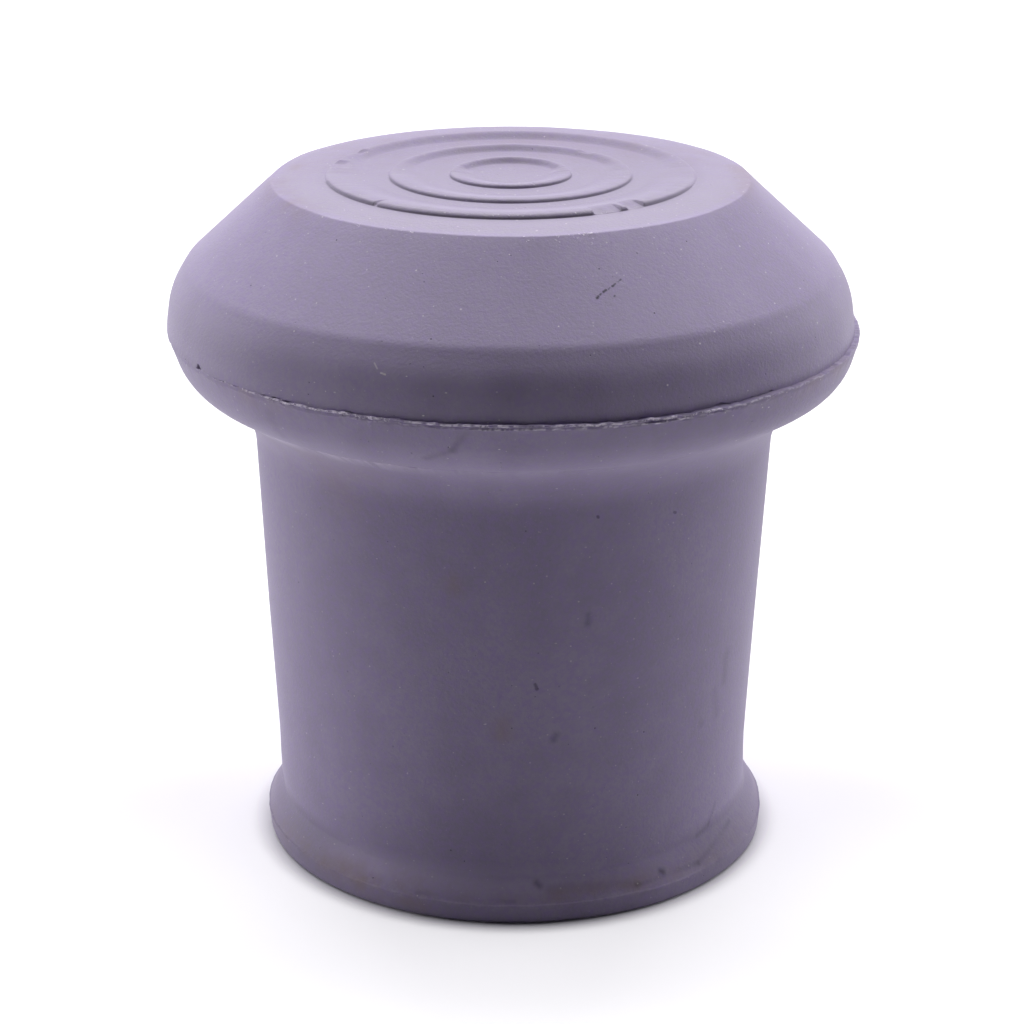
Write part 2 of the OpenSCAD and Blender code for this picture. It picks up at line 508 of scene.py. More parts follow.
@dataclass(frozen=True)
class PartingLine:
    """Frayed ribbon of flash where the mould halves met, and the crevice that is open above it.

    Attributes:
        depth: How deep the crevice runs in under the band, mm.
        tilt: How far the parting plane drops or rises at the sides, mm.
        ribbon: Rows of the ribbon, as distance out from the wall and height over the plane.
        roof_drop: How far the crevice's inner wall ends below the band's foot, mm.
        roof_lip: How far in and below the band's foot the crevice's roof begins, mm.
        full: How far the upper edge stands out at a share of 1, mm.
        fold: How far the lower edge does.
        upper: The upper edge across the ribbon, by height over the plane.
        lower: The lower edge, likewise.
        film: The thin film that bridges a shut crevice.
        film_rise: How far that film stands up, mm.
        film_out: How far it stands out, mm.
        upper_light: Where light catches the upper edge.
        lower_light: Where it catches the lower edge.
        upper_shade: The fold under the upper edge.
        lower_shade: The fold under the lower edge.
        seam_shade: The line along the plane itself.
        missing: A place where a piece of the ribbon is gone.
        shut: Share of the full opening where the crevice is shut.
        frays: Stretches of the ribbon.
        gapes: Stretches of the crevice, with their shares of the full opening.
    """

    depth: float = 0.2
    tilt: float = 0.045
    ribbon: tuple[Place, ...] = (
        (-0.085, -0.43), (-0.055, -0.37), (-0.035, -0.33), (-0.025, -0.295), (-0.015, -0.265),
        (-0.01, -0.235), (-0.006, -0.205), (-0.003, -0.175), (0.0, -0.145), (0.0, -0.12), (0.0, -0.095),
        (0.0, -0.07), (0.0, -0.045), (0.0, -0.02), (-0.01, 0.0), (-0.1, 0.0),
    )
    roof_drop: float = 0.06
    roof_lip: Place = (0.07, 0.03)
    full: float = 0.12
    fold: float = 0.1
    upper: Tooth = Tooth(-0.05, 0.1, 0.05)
    lower: Tooth = Tooth(-0.235, 0.09, 0.06)
    film: Tooth = Tooth(0.0, 0.02, 0.09)
    film_rise: float = 0.06
    film_out: float = 0.035
    upper_light: Tooth = Tooth(-0.02, 0.085, 0.07)
    lower_light: Tooth = Tooth(-0.21, 0.08, 0.065)
    upper_shade: Tooth = Tooth(-0.11, 0.05, 0.05)
    lower_shade: Tooth = Tooth(-0.285, 0.04, 0.05)
    seam_shade: Tooth = Tooth(0.0, 0.03, 0.04)
    missing: Arc = Arc(-62.9, -62.3, 0.4)
    shut: float = 0.08
    frays: tuple[Fray, ...] = (
        Fray(-158.0, -138.0, 6.0, 0.25, 0.0, 0.1, 0.0),
        Fray(-136.5, -131.5, 2.0, 0.4, 0.0, 0.55, 0.35),
        Fray(-131.0, -125.4, 0.6, 1.1, 0.15, 1.0, 0.5),
        Fray(-124.6, -117.8, 0.6, 0.75, 0.0, 0.7, 0.1),
        Fray(-116.8, -109.6, 0.8, 1.05, 0.2, 0.95, 0.3),
        Fray(-108.8, -96.0, 1.0, 0.75, 0.15, 0.5, 0.0),
        Fray(-95.6, -84.0, 1.0, 0.8, 0.4, 0.6, 0.1),
        Fray(-83.2, -80.4, 0.5, 1.3, 0.2, 0.75, 0.15),
        Fray(-79.8, -74.2, 0.6, 1.0, 0.35, 0.7, 0.0),
        Fray(-73.6, -71.2, 0.5, 0.5, 0.2, 0.6, 0.1),
        Fray(-70.4, -63.2, 0.5, 1.05, 1.0, 0.75, 0.1),
        Fray(-62.4, -55.6, 0.6, 0.8, 0.25, 0.8, 0.2),
        Fray(-55.0, -45.5, 1.5, 0.5, 0.1, 0.55, 0.4),
        Fray(-44.0, -34.0, 3.0, 0.25, 0.0, 0.4, 0.2),
    )
    gapes: tuple[Cover, ...] = (
        Cover(-149.4, -148.4, 0.6, 2.0),
        Cover(-134.0, -131.0, 1.0, 0.3),
        Cover(-129.3, -127.2, 0.4, 0.6),
        Cover(-126.8, -125.0, 0.5, 0.45),
        Cover(-115.4, -112.9, 0.5, 0.6),
        Cover(-107.6, -105.9, 0.5, 0.3),
        Cover(-105.0, -102.8, 0.5, 0.25),
        Cover(-99.4, -97.8, 0.4, 0.45),
        Cover(-96.6, -95.0, 0.4, 0.42),
        Cover(-94.3, -84.2, 0.7, 0.36),
        Cover(-79.2, -75.4, 0.6, 0.48),
        Cover(-74.6, -72.4, 0.5, 0.45),
        Cover(-70.4, -62.6, 0.8, 0.42),
        Cover(-62.2, -60.0, 0.8, 0.3),
        Cover(-57.6, -54.6, 0.5, 1.6),
        Cover(-54.0, -46.0, 1.5, 0.8),
    )

    def corners(self, neck: NeckHalf, band_foot: Place) -> list[Corner]:
        """Corners of the ribbon of flash, the ledge over it and the crevice's inner wall.

        Args:
            neck: The half below.
            band_foot: Radius and height of the foot of the band above, mm.

        Returns:
            The corners, from the ribbon's foot up.
        """
        inner = band_foot[0] - self.depth
        top = neck.parting_z
        ribbon = [Corner(neck.parting_r + out, top + up, FLASH) for out, up in self.ribbon]
        return ribbon + [
            Corner(inner, top, FLASH, 0.03, 2, 0),
            Corner(inner, band_foot[1] - self.roof_drop, CREVICE, 0.04, 1, 0),
            Corner(band_foot[0] - self.roof_lip[0], band_foot[1] - self.roof_lip[1], CREVICE),
        ]

    def opening(self, bearing: Array) -> Array:
        """How far the crevice gapes at each bearing, as a share of the band's height over the plane.

        Args:
            bearing: Bearings in degrees.

        Returns:
            The share, 0 to 1.3.
        """
        gape = along(bearing, self.gapes, "share", self.shut)
        ragged = 1.0 + ring_sum(bearing, (0.4, 110, 11), (0.5, 330, 12), (0.45, 900, 14))
        return np.clip(0.5 * gape * ragged, 0.02, 1.3)

    def torn(self, bearing: Array) -> Array:
        """Where a piece of the ribbon has come away.

        Args:
            bearing: Bearings in degrees.

        Returns:
            How much of it has, 0 to 1.
        """
        gone = ease((ring_noise(bearing, 74, 21) - 0.25) / 0.25)
        gone = gone * ease((ring_noise(bearing, 210, 27) + 0.3) / 0.3)
        return within(gone + self.missing.at(bearing))

    def upper_ridge(self, bearing: Array) -> Array:
        """How far the upper edge stands out of the wall, mm."""
        fray = 1.0 + ring_sum(bearing, (0.4, 300, 22), (0.4, 820, 23))
        kept = 1.0 - 0.85 * self.torn(bearing)
        return self.full * along(bearing, self.frays, "edge", 0.15) * fray * kept

    def lower_ridge(self, bearing: Array) -> Array:
        """How far the second edge stands out of the wall, mm."""
        fray = 1.0 + ring_sum(bearing, (0.45, 260, 32), (0.4, 760, 33))
        kept = ease((ring_noise(bearing, 64, 35) + 0.5) / 0.4)
        return self.fold * along(bearing, self.frays, "fold", 0.0) * fray * kept

    def wander(self, bearing: Array) -> tuple[Array, Array]:
        """How far the upper and the lower edge stand above their places, mm."""
        upper = ring_sum(bearing, (0.04, 110, 25), (0.045, 460, 26))
        return np.clip(upper, -0.07, 0.055), ring_sum(bearing, (0.05, 60, 34), (0.035, 330, 36))

    def drift(self, bearing: Array) -> Array:
        """How far the whole parting line wanders up and down, mm."""
        return ring_sum(bearing, (0.04, 80, 15), (0.03, 260, 16), (0.018, 700, 17))

    def lit(self, bearing: Array, over: Array) -> Array:
        """Where highlights are painted on the torn edges: each tooth's upper side, broken by noise along the
        ring.

        Args:
            bearing: Bearings in degrees, one to a column.
            over: Heights over the parting plane in mm, as a column.

        Returns:
            The cover, rows by columns, 0 to 1.
        """
        ragged = within(0.6 + ring_sum(bearing, (1.2, 430, 28), (1.9, 1100, 29)))
        broken = within(0.55 + ring_sum(bearing, (1.0, 230, 38), (1.8, 1000, 39)))
        jump = ring_sum(bearing, (0.03, 420, 18), (0.025, 1100, 19))
        upper = self.upper_light.at(over - jump) * within(along(bearing, self.frays, "edge", 0.1))
        upper = upper * ragged * (1.0 - 0.8 * self.torn(bearing))
        lower = self.lower_light.at(over + jump) * within(1.5 * along(bearing, self.frays, "fold", 0.0))
        return within(1.3 * (upper + lower * broken))

    def shaded(self, bearing: Array, over: Array) -> Array:
        """How strongly shade is painted into the folds under the torn edges.

        Args:
            bearing: Bearings in degrees, one to a column.
            over: Heights over the parting plane in mm, as a column.

        Returns:
            The cover, rows by columns, 0 to 1.
        """
        patchy = within(0.5 + ring_sum(bearing, (0.7, 260, 71), (0.7, 800, 72)))
        edge = within(along(bearing, self.frays, "edge", 0.05) - 0.1)
        folds = self.upper_shade.at(over) * edge
        folds = folds + self.lower_shade.at(over) * along(bearing, self.frays, "fold", 0.0)
        return within((folds + 0.5 * self.seam_shade.at(over) * edge) * patchy)


class RibPlace(Enum):
    """The three wear ribs, by their place in the tread's list."""

    INNER = 0
    MIDDLE = 1
    OUTER = 2


@dataclass(frozen=True)
class Rib:
    """A wear rib of the tread.

    Attributes:
        place: Which of the three it is.
        radius: Radius of its crest, mm.
        width: Width of its steep crown, mm.
        back: Length of the gentle slope behind it, mm.
        stand: Bearings, and the share of the rib's height that stands there.
    """

    place: RibPlace
    radius: float
    width: float
    back: float
    stand: tuple[Place, ...]

    def across(self, radius: Array) -> Array:
        """Where each radius is across it: -1 at its inner foot, 0 at its crest, 1 at its outer foot."""
        return (radius - self.radius) / (0.5 * self.width)

    def on(self, rows: Rows) -> Array:
        """1 for rows on it and 0 for the rest, as a column."""
        return (rows.rib == self.place.value).astype(float)[:, None]


@dataclass(frozen=True)
class RibWear(Arc):
    """A stretch of a rib that wear has cut down.

    Attributes:
        rib: The rib.
        left: Share of the rib's height that is left at its middle.
        fall: How much less is left at its outer foot, and how much more at its inner one.
        push: How far the rib is pushed outwards, mm.
    """

    rib: RibPlace
    left: float
    fall: float = 0.0
    push: float = 0.0


@dataclass(frozen=True)
class TreadHalf:
    """Half of the moulding above the parting line: band, shoulder, bevel, tread and ribs.

    Attributes:
        shift: How far this half stands off the bore's axis in x and y, mm.
        band_foot: Radius and height of the band's foot.
        shoulder_low: Radius and height at which the shoulder begins.
        shoulder_high: Radius and height at which it passes into the bevel.
        low_round: Radius that rounds the first of these corners.
        high_round: Radius that rounds the second.
        tread_edge: Radius and height of the tread's edge.
        edge_round: Radius that rounds it.
        flat_r: Radius of the level tread.
        height: Height of the level tread.
        edge_from: Height above which the cap's rows count as its edge.
        rise_to_back: Rise of the cap towards the back, mm in a mm.
        rise_full_z: Height from which that rise is whole.
        rib_h: Height of a whole rib over the tread.
        rib_across: Rows over a rib's crown, as shares of half its width.
        rib_full: Power that fills the crown out.
        rib_steep: Power that makes its sides steep.
        rib_behind: Rows on the slope behind a rib, as shares of its length.
        rib_tight: Share of that length where the slopes are drawn together.
        tight: Where they are.
        bare: Radii of the rows on the bare tread: outside the ribs, between them and inside.
        uncut: A share over 1, at which wear leaves a rib whole.
        least: The least share that wear leaves.
        wear_seed: Seed of the inner rib's unevenness; the others follow ten apart.
        ribs: The ribs, from the inner one out.
        wear: Where they are worn down.
    """

    shift: Place = (-0.2, 0.1)
    band_foot: Place = (19.88, 31.65)
    shoulder_low: Place = (19.606, 33.666)
    shoulder_high: Place = (18.666, 35.241)
    low_round: float = 4.5
    high_round: float = 1.8
    tread_edge: Place = (13.65, 39.88)
    edge_round: float = 0.25
    flat_r: float = 11.8
    height: float = 40.0
    edge_from: float = 39.0
    rise_to_back: float = 0.0042
    rise_full_z: float = 38.0
    rib_h: float = 0.34
    rib_across: tuple[float, ...] = (1.3, 1.02, 1.0, 0.97, 0.93, 0.86, 0.77, 0.62, 0.4)
    rib_full: float = 4.2
    rib_steep: float = 0.85
    rib_behind: tuple[float, ...] = (0.12, 0.28, 0.42, 0.54, 0.66, 0.78, 0.9, 1.0)
    rib_tight: float = 0.43
    tight: Arc = Arc(28.0, 152.0, 24.0)
    bare: tuple[tuple[float, ...], ...] = ((11.2,), (7.8,), (4.7, 4.2), (1.8, 0.9, 0.0))
    uncut: float = 1.2
    least: float = 0.03
    wear_seed: int = 40
    ribs: tuple[Rib, ...] = (
        Rib(RibPlace.INNER, 3.2, 0.6, 1.2, (
            (-180.0, 0.35), (-165.0, 0.45), (-130.0, 0.58), (-50.0, 0.58), (-15.0, 0.45), (0.0, 0.4),
            (30.0, 0.75), (90.0, 0.95), (150.0, 0.75), (180.0, 0.35),
        )),
        Rib(RibPlace.MIDDLE, 6.6, 0.74, 1.6, (
            (-180.0, 0.3), (-168.0, 0.5), (-140.0, 0.6), (-110.0, 0.64), (-70.0, 0.64), (-30.0, 0.52),
            (-8.0, 0.38), (5.0, 0.38), (25.0, 0.75), (90.0, 0.95), (155.0, 0.75), (172.0, 0.4), (180.0, 0.3),
        )),
        Rib(RibPlace.OUTER, 10.15, 0.9, 2.1, (
            (-180.0, 0.3), (-170.0, 0.48), (-150.0, 0.68), (-120.0, 0.77), (-50.0, 0.75), (-30.0, 0.6),
            (-16.0, 0.44), (-6.0, 0.28), (8.0, 0.35), (26.0, 0.8), (90.0, 1.0), (135.0, 0.85),
            (155.0, 0.7), (172.0, 0.4), (180.0, 0.3),
        )),
    )
    wear: tuple[RibWear, ...] = (
        RibWear(-134.9, -133.7, 0.5, RibPlace.OUTER, 0.95, 1.3),
        RibWear(-64.6, -55.6, 0.5, RibPlace.OUTER, 0.34, 0.3),
        RibWear(-54.2, -53.0, 0.3, RibPlace.OUTER, 0.62, 0.1),
        RibWear(-52.8, -46.6, 0.9, RibPlace.OUTER, 0.26, 0.26, -0.03),
        RibWear(149.8, 151.6, 5.0, RibPlace.OUTER, 0.12),
        RibWear(166.5, 170.5, 7.0, RibPlace.OUTER, 0.1),
        RibWear(46.0, 49.5, 2.5, RibPlace.MIDDLE, 0.2),
        RibWear(-67.4, -66.4, 1.0, RibPlace.INNER, 0.4),
    )

    @property
    def outer_rib(self) -> Rib:
        """The outermost rib."""
        return self.ribs[RibPlace.OUTER.value]

    def corners(self) -> list[Corner]:
        """Corners from the band's foot up to the flat of the tread."""
        return [
            Corner(*self.band_foot, CREVICE, 0.035, 3, 0),
            Corner(*self.shoulder_low, CAP, self.low_round, 7, 3),
            Corner(*self.shoulder_high, CAP, self.high_round, 5, 0),
            Corner(*self.tread_edge, CAP, self.edge_round, 6, 8),
            Corner(self.flat_r, self.height, CAP, 3.0, 3, 2),
        ]

    def rib_rows(self, rib: Rib) -> Rows:
        """Rows over one rib, with a steep outer face and a long gentle slope behind it.

        With u the distance outwards from its crest over half its width, it stands
        (1 - u^full)^steep, and behind the crest it eases down to the tread.  `slope` draws that
        part together at the back.

        Args:
            rib: The rib.

        Returns:
            The rows at the tread's height, with how far each is lifted.
        """
        side, behind = np.array(self.rib_across), np.array(self.rib_behind)
        radii = rib.radius + np.concatenate([0.5 * rib.width * side, -rib.back * behind])
        lift = within(1.0 - side ** self.rib_full) ** self.rib_steep
        stretch = OUTER_RIB if rib.place is RibPlace.OUTER else TREAD
        rows = self.level_rows(radii, stretch)
        rows.lift = np.concatenate([lift, 1.0 - ease(behind)])
        rows.rib = np.full(len(radii), rib.place.value)
        return rows

    def level_rows(self, radii: Array | tuple[float, ...], stretch: Stretch = TREAD) -> Rows:
        """Rows at the height of the level tread, with no rib on them."""
        flat = np.zeros(len(radii))
        return Rows(flat + radii, flat + self.height, np.full(len(radii), stretch.value), flat, flat - 1.0)

    def top_rows(self) -> Rows:
        """Rows over the three ribs and the tread between them, ending at the centre."""
        rows = self.level_rows(self.bare[0])
        for rib, inside in zip(reversed(self.ribs), self.bare[1:]):
            rows = rows.then(self.rib_rows(rib)).then(self.level_rows(inside))
        return rows

    def slope(self, bearing: Array) -> Array:
        """Length of the slope behind each rib at each bearing, as a share of the longest."""
        return 1.0 - (1.0 - self.rib_tight) * self.tight.at(bearing)

    def across_any(self, rows: Rows) -> Array:
        """Where each row is across its own rib, as a column; 0 off the ribs."""
        return sum(rib.across(rows.radius) * rib.on(rows) for rib in self.ribs)

    def standing(self, rib: Rib, bearing: Array, across: Array) -> tuple[Array, Array, Array]:
        """What wear has left of a rib.

        Args:
            rib: The rib.
            bearing: Bearings in degrees.
            across: Where each row is across the rib, from -1 at its inner foot to 1 at its outer
                foot, as a column.

        Returns:
            The share of its height that stands and how far it is pushed out in mm, at each bearing,
            and the share to which each row of it is cut down.
        """
        seed = self.wear_seed + 10 * rib.place.value
        at, stand = zip(*rib.stand)
        share = np.interp((bearing + 180.0) % 360.0 - 180.0, at, stand)
        share = share + ring_sum(bearing, (0.03, 30, seed), (0.02, 170, seed + 1))
        push = ring_sum(bearing, (0.012, 24, seed + 2), (0.006, 150, seed + 3))
        rough = ring_sum(bearing, (0.04, 150, seed + 4))
        behind = self.uncut * ease((-across - 0.9) / 0.7)
        cut = np.full((len(across), len(bearing)), self.uncut)
        for worn in self.wear:
            if worn.rib is rib.place:
                mask = worn.at(bearing)
                left = np.clip(worn.left - worn.fall * across + rough + behind, self.least, self.uncut)
                cut = np.minimum(cut, self.uncut * (1.0 - mask) + left * mask)
                push = push + worn.push * mask
        return share, push, cut


# -------------------- wear, dirt and painted light


@dataclass(frozen=True)
class Layout:
    """The moulding laid out in rows and columns.

    Attributes:
        neck: The lower half of the moulding.
        parting: The line between the halves.
        tread: The upper half.
        rows: The outline's rows.
        bearing: Bearings of the columns, degrees.
    """

    neck: NeckHalf
    parting: PartingLine
    tread: TreadHalf
    rows: Rows
    bearing: Array


@dataclass(frozen=True)
class Belt:
    """A soft belt of cover round a stretch of the skin.

    Attributes:
        stretch: Stretch that bears it.
        height: Height of its middle, mm.
        width: Half its width, mm.
        rest: Its share all round.
        covers: What arcs add to that.
    """

    stretch: Stretch
    height: float
    width: float
    rest: float = 0.0
    covers: tuple[Cover, ...] = ()

    def over(self, rows: Rows, bearing: Array) -> Array:
        """Its cover, rows by columns: a bell curve of the height times the share at each bearing."""
        share = covered(bearing, self.covers, self.rest)
        return rows.of(self.stretch) * hump(rows.height, self.height, self.width) * share


@dataclass(frozen=True)
class Weathering(Layout):
    """Where use has soiled, dusted, rubbed and torn the skin, and where light and shade are painted on it.

    The methods give covers, rows by columns, or a column where they are the same all round.

    Attributes:
        top_from: Height above which the cap counts as its top, mm.
        band_to: Height up to which clouds of powder lie on the cap.
        low_cap_to: Height up to which the cap is given painted shade.
        neck_to: Height up to which the neck is given painted shade.
        foot_from: Radius from which the foot is darkened, mm.
        ribbed_r: Radius within which the top is darkened more.
        under_edge: Height and radius of the flecks under the tread's edge.
        edge_near: How near the tread's edge a row has to be to look rubbed, mm.
        soil_belts: Belts of brown soil on the foot and the neck.
        flash_soil: Soil along the flash.
        rim: Radius and half the width of the tread's rim, mm.
        rim_soil: Soil along that rim.
        behind_rib_shade: Where less dust lies behind the ribs, a painted shade on their inner slopes.
        bevel_light: Where the bevel is painted lightest, over a lower share all round.
        lit_belts: Belts of painted light on the cap under the tread's edge and at the band's foot, and on
            the bead's top.
        pale_belt: The rubbed lip of the foot's moulding line.
        crease_highlight: Where the highlight painted along the crease is strongest, over a lower share all
            round.
        edge_torn: Where dust clings along the tread's edge.
        rib_torn: Where light flecks lie along the outer rib.
        rib_front_shade: Painted shade on the outer rib's outer face along the front.
        rib_shaded: Where that painted shade is thinner, as a share taken away.
        notch_shade: Painted shade in the notch between two worn stretches of that rib.
        rib_side_shade: Painted shade along the sides of the outer rib, which climbs higher.
        inner_arc: Where there is painted shade along the other ribs.
        inner_rib_shade: Where it is thicker there.
        low_cap_shade: Where the lower cap has more painted shade.
        foot_front_lighter: Where the foot is darkened less, at the front.
    """

    top_from: float = 39.9
    band_to: float = 35.0
    low_cap_to: float = 34.5
    neck_to: float = 25.6
    foot_from: float = 13.0
    ribbed_r: float = 11.2
    under_edge: Place = (39.5, 14.4)
    edge_near: float = 0.12
    soil_belts: tuple[Belt, ...] = (
        Belt(FOOT, 1.65, 0.5, 0.3, (Cover(-75.0, -30.0, 15.0, 0.3),)),
        Belt(FOOT, 1.1, 0.9, 0.0, (Cover(-165.0, -112.0, 12.0, 0.8),)),
        Belt(NECK, 26.5, 1.6, 0.0, (Cover(-150.0, -128.0, 16.0, 0.3),)),
    )
    flash_soil: tuple[Cover, ...] = (Cover(-140.0, -130.0, 6.0, 0.5), Cover(-44.0, -22.0, 8.0, 0.5))
    rim: Span = (13.5, 0.7)
    rim_soil: tuple[Cover, ...] = (Cover(-172.0, -150.0, 12.0, 0.7), Cover(-20.0, 8.0, 12.0, 0.7))
    behind_rib_shade: Cover = Cover(-150.0, -20.0, 25.0, 0.45)
    bevel_light: Cover = Cover(-115.0, -60.0, 45.0, 0.75)
    lit_belts: tuple[Belt, ...] = (
        Belt(CAP, 39.3, 1.2, 0.0, (Cover(-125.0, -55.0, 20.0, 0.3),)),
        Belt(FOOT, 2.2, 0.7, 0.0, (Cover(-132.0, -88.0, 22.0),)),
        Belt(CAP, 31.6, 1.1, 0.3),
    )
    pale_belt: Belt = Belt(FOOT, 1.22, 0.12, 0.5)
    crease_highlight: Cover = Cover(-150.0, -112.0, 10.0, 0.75)
    edge_torn: tuple[Cover, ...] = (Cover(-126.0, -98.0, 5.0), Cover(-86.0, -52.0, 6.0, 1.2))
    rib_torn: Cover = Cover(-112.0, -62.0, 8.0, 0.5)
    rib_front_shade: Cover = Cover(-132.6, -66.0, 1.2)
    rib_shaded: Cover = Cover(-136.0, -122.0, 8.0, 0.3)
    notch_shade: Cover = Cover(-56.0, -53.2, 0.6, 0.6)
    rib_side_shade: tuple[Cover, ...] = (Cover(-168.0, -136.4, 4.0, 0.9), Cover(-45.0, -22.0, 8.0, 0.65))
    inner_arc: Arc = Arc(-165.0, -15.0, 18.0)
    inner_rib_shade: tuple[Cover, ...] = (Cover(-165.0, -135.0, 18.0, 0.35), Cover(-45.0, -15.0, 18.0, 0.35))
    low_cap_shade: Cover = Cover(-155.0, -122.0, 15.0, 0.13)
    foot_front_lighter: Cover = Cover(-122.0, -58.0, 24.0, -0.66)

    def on_top(self) -> Array:
        """1 for rows on the level top and its ribs and 0 for the rest, as a column."""
        level = self.rows.of(CAP) * (self.rows.height > self.top_from)
        return self.rows.of(TREAD, OUTER_RIB) + level

    def forward(self) -> Array:
        """How far forward each point lies: 0 at the tread's back edge, 1 at its front edge."""
        out = self.rows.radius / self.tread.tread_edge[0]
        return 0.5 - 0.5 * out * np.sin(np.radians(self.bearing))[None, :]

    def crease_lit(self) -> Array:
        """How strongly a highlight is painted along the crease at each bearing, on its own rows."""
        return self.rows.of(CREASE) * (0.25 + self.crease_highlight.over(self.bearing))

    def ribbon(self) -> Array:
        """1 for rows on the ribbon of flash and 0 for the rest, as a column."""
        return self.rows.of(FLASH) * (self.rows.radius > self.neck.parting_r - 0.09)

    def outer_face(self) -> Array:
        """1 for rows on the outer rib's outer face and 0 for the rest, as a column."""
        return self.rows.of(OUTER_RIB) * (self.rows.radius > self.tread.outer_rib.radius)

    def soil(self) -> Array:
        """Brown soil in belts, along the flash and the tread's rim, and a darkening towards the back of the
        top.
        """
        rows, bearing = self.rows, self.bearing
        belts = sum(belt.over(rows, bearing) for belt in self.soil_belts)
        flash = rows.of(FLASH) * covered(bearing, self.flash_soil)
        rim = rows.of(CAP) * hump(rows.radius, *self.rim) * (rows.height > self.tread.edge_from)
        back = self.on_top() * 0.4 * ease(1.4 - 2.0 * self.forward())
        return belts + flash + rim * covered(bearing, self.rim_soil) + back

    def shelf(self) -> Array:
        """Dust over the top, thicker towards the front, and thinner behind the ribs, a painted shade on
        their inner slopes.
        """
        behind = (self.tread.across_any(self.rows) < -0.3) * self.behind_rib_shade.over(self.bearing)
        return self.on_top() * (0.1 + 0.9 * ease(self.forward())) * (1.0 - behind)

    def slope(self) -> Array:
        """Painted light where the bevel faces up and in belts, and a cloudy lift over the band and the cap's
        underside.
        """
        rows, bearing = self.rows, self.bearing
        cap = rows.of(CAP)
        run, rise = np.gradient(rows.r), np.gradient(rows.z)
        up = ease((-run / np.maximum(np.hypot(run, rise), 1e-6) - 0.2) / 0.45)[:, None]
        # Painted light where the bevel faces up, most at the front.
        bevel = cap * (rows.height <= self.top_from) * up * (0.25 + self.bevel_light.over(bearing))
        cloud = within(0.5 + ring_sum(bearing, (0.9, 16, 61), (0.6, 60, 62)))
        band = rows.of(BULGE) + cap * (rows.height < self.band_to)
        belts = sum(belt.over(rows, bearing) for belt in self.lit_belts)
        # The cloudy lift over the band and the cap's underside is partly dust and partly painted light.
        return bevel + belts + band * (0.08 + 0.4 * cloud)

    def pale(self) -> Array:
        """Rubber rubbed pale at the foot's line and the tread's edge, and a highlight painted along the
        crease.
        """
        rows, bearing = self.rows, self.bearing
        edge = 0.4 * rows.near(self.tread.tread_edge, self.edge_near)
        crease = self.crease_lit() * rows.near(self.neck.crease, 0.13)
        return self.pale_belt.over(rows, bearing) + edge + crease

    def fleck(self) -> Array:
        """How densely light flecks lie on the flash and under it, on the tread's edge and the outer rib."""
        rows, bearing = self.rows, self.bearing
        top, parting = self.neck.parting_z, self.parting
        on_flash = self.ribbon()
        torn = on_flash * hump(rows.height, top + parting.upper.peak, 0.12)
        torn = torn * 0.8 * along(bearing, parting.frays, "fleck", 0.05)
        wall = on_flash + rows.of(BULGE) * ease((rows.height - top + 0.9) / 0.4)
        torn = np.maximum(torn, wall * 0.35 * along(bearing, parting.frays, "spread", 0.0))
        strewn = np.clip(0.5 + ring_sum(bearing, (0.7, 70, 53), (0.4, 240, 54)), 0.0, 1.3)
        strewn = strewn * covered(bearing, self.edge_torn)
        edge = rows.near(self.tread.tread_edge, self.edge_near) * (0.08 + 0.28 * strewn)
        low, far = self.under_edge
        below = rows.of(CAP) * hump(rows.height, low, 0.4) * (rows.radius < far)
        rib = self.outer_face() * hump(rows.lift[:, None], 0.75, 0.25) * self.rib_torn.over(bearing)
        return torn + edge + below * (0.05 + 0.2 * strewn) + rib

    def lit(self) -> Array:
        """Where the torn edges of the flash and the ridge along the crease catch the light."""
        rows, bearing = self.rows, self.bearing
        flash = self.ribbon() * self.parting.lit(bearing, rows.height - self.neck.parting_z)
        streak = within(0.5 + ring_sum(bearing, (0.3, 90, 51), (0.3, 500, 52)))
        return flash + self.crease_lit() * rows.near(self.neck.crease, 0.1) * streak * 0.5

    def cleft(self) -> Array:
        """Where the crevice and the folds of the flash are shut away from light."""
        rows, bearing = self.rows, self.bearing
        inside = rows.of(CREVICE) * (rows.radius < self.tread.band_foot[0] - 0.12)
        folds = self.ribbon() * self.parting.shaded(bearing, rows.height - self.neck.parting_z)
        return 0.25 * inside + 0.9 * folds

    def grime(self) -> Array:
        """Painted shade on the ribs' outer faces, near the floor and over the lower cap and the neck, and a
        darkening of the top and the foot's sides.
        """
        rows, bearing = self.rows, self.bearing
        lift, outer = rows.lift[:, None], self.tread.outer_rib
        # Painted shade on the outer rib's outer face, deepest at its foot and climbing higher at its sides.
        front = self.rib_front_shade.over(bearing) * (1.0 - self.rib_shaded.over(bearing))
        front = front + self.notch_shade.over(bearing) + covered(bearing, self.rib_side_shade)
        climb = 0.62 + 0.26 * sum(side.at(bearing) for side in self.rib_side_shade)
        rib = self.outer_face() * ease((climb - lift) / 0.3) * (rows.radius < outer.radius + 0.5) * front
        # Painted shade on the outer faces of the other two ribs.
        across = self.tread.across_any(rows)
        facing = (across > 0.0) * (across < 1.1) * (1.0 - outer.on(rows))
        inner = facing * ease((0.82 - lift) / 0.3)
        inner = inner * covered(bearing, self.inner_rib_shade, 0.45) * self.inner_arc.at(bearing)
        # The top is darkened, and painted shade lies thinly over the lower cap and the neck.
        top = self.on_top() * (0.13 + 0.1 * (rows.radius < self.ribbed_r))
        low_cap = rows.of(CAP) * (rows.height < self.low_cap_to)
        low_cap = low_cap * (0.09 + self.low_cap_shade.over(bearing))
        thin = 0.1 * rows.of(NECK) * (rows.height < self.neck_to) + top + low_cap
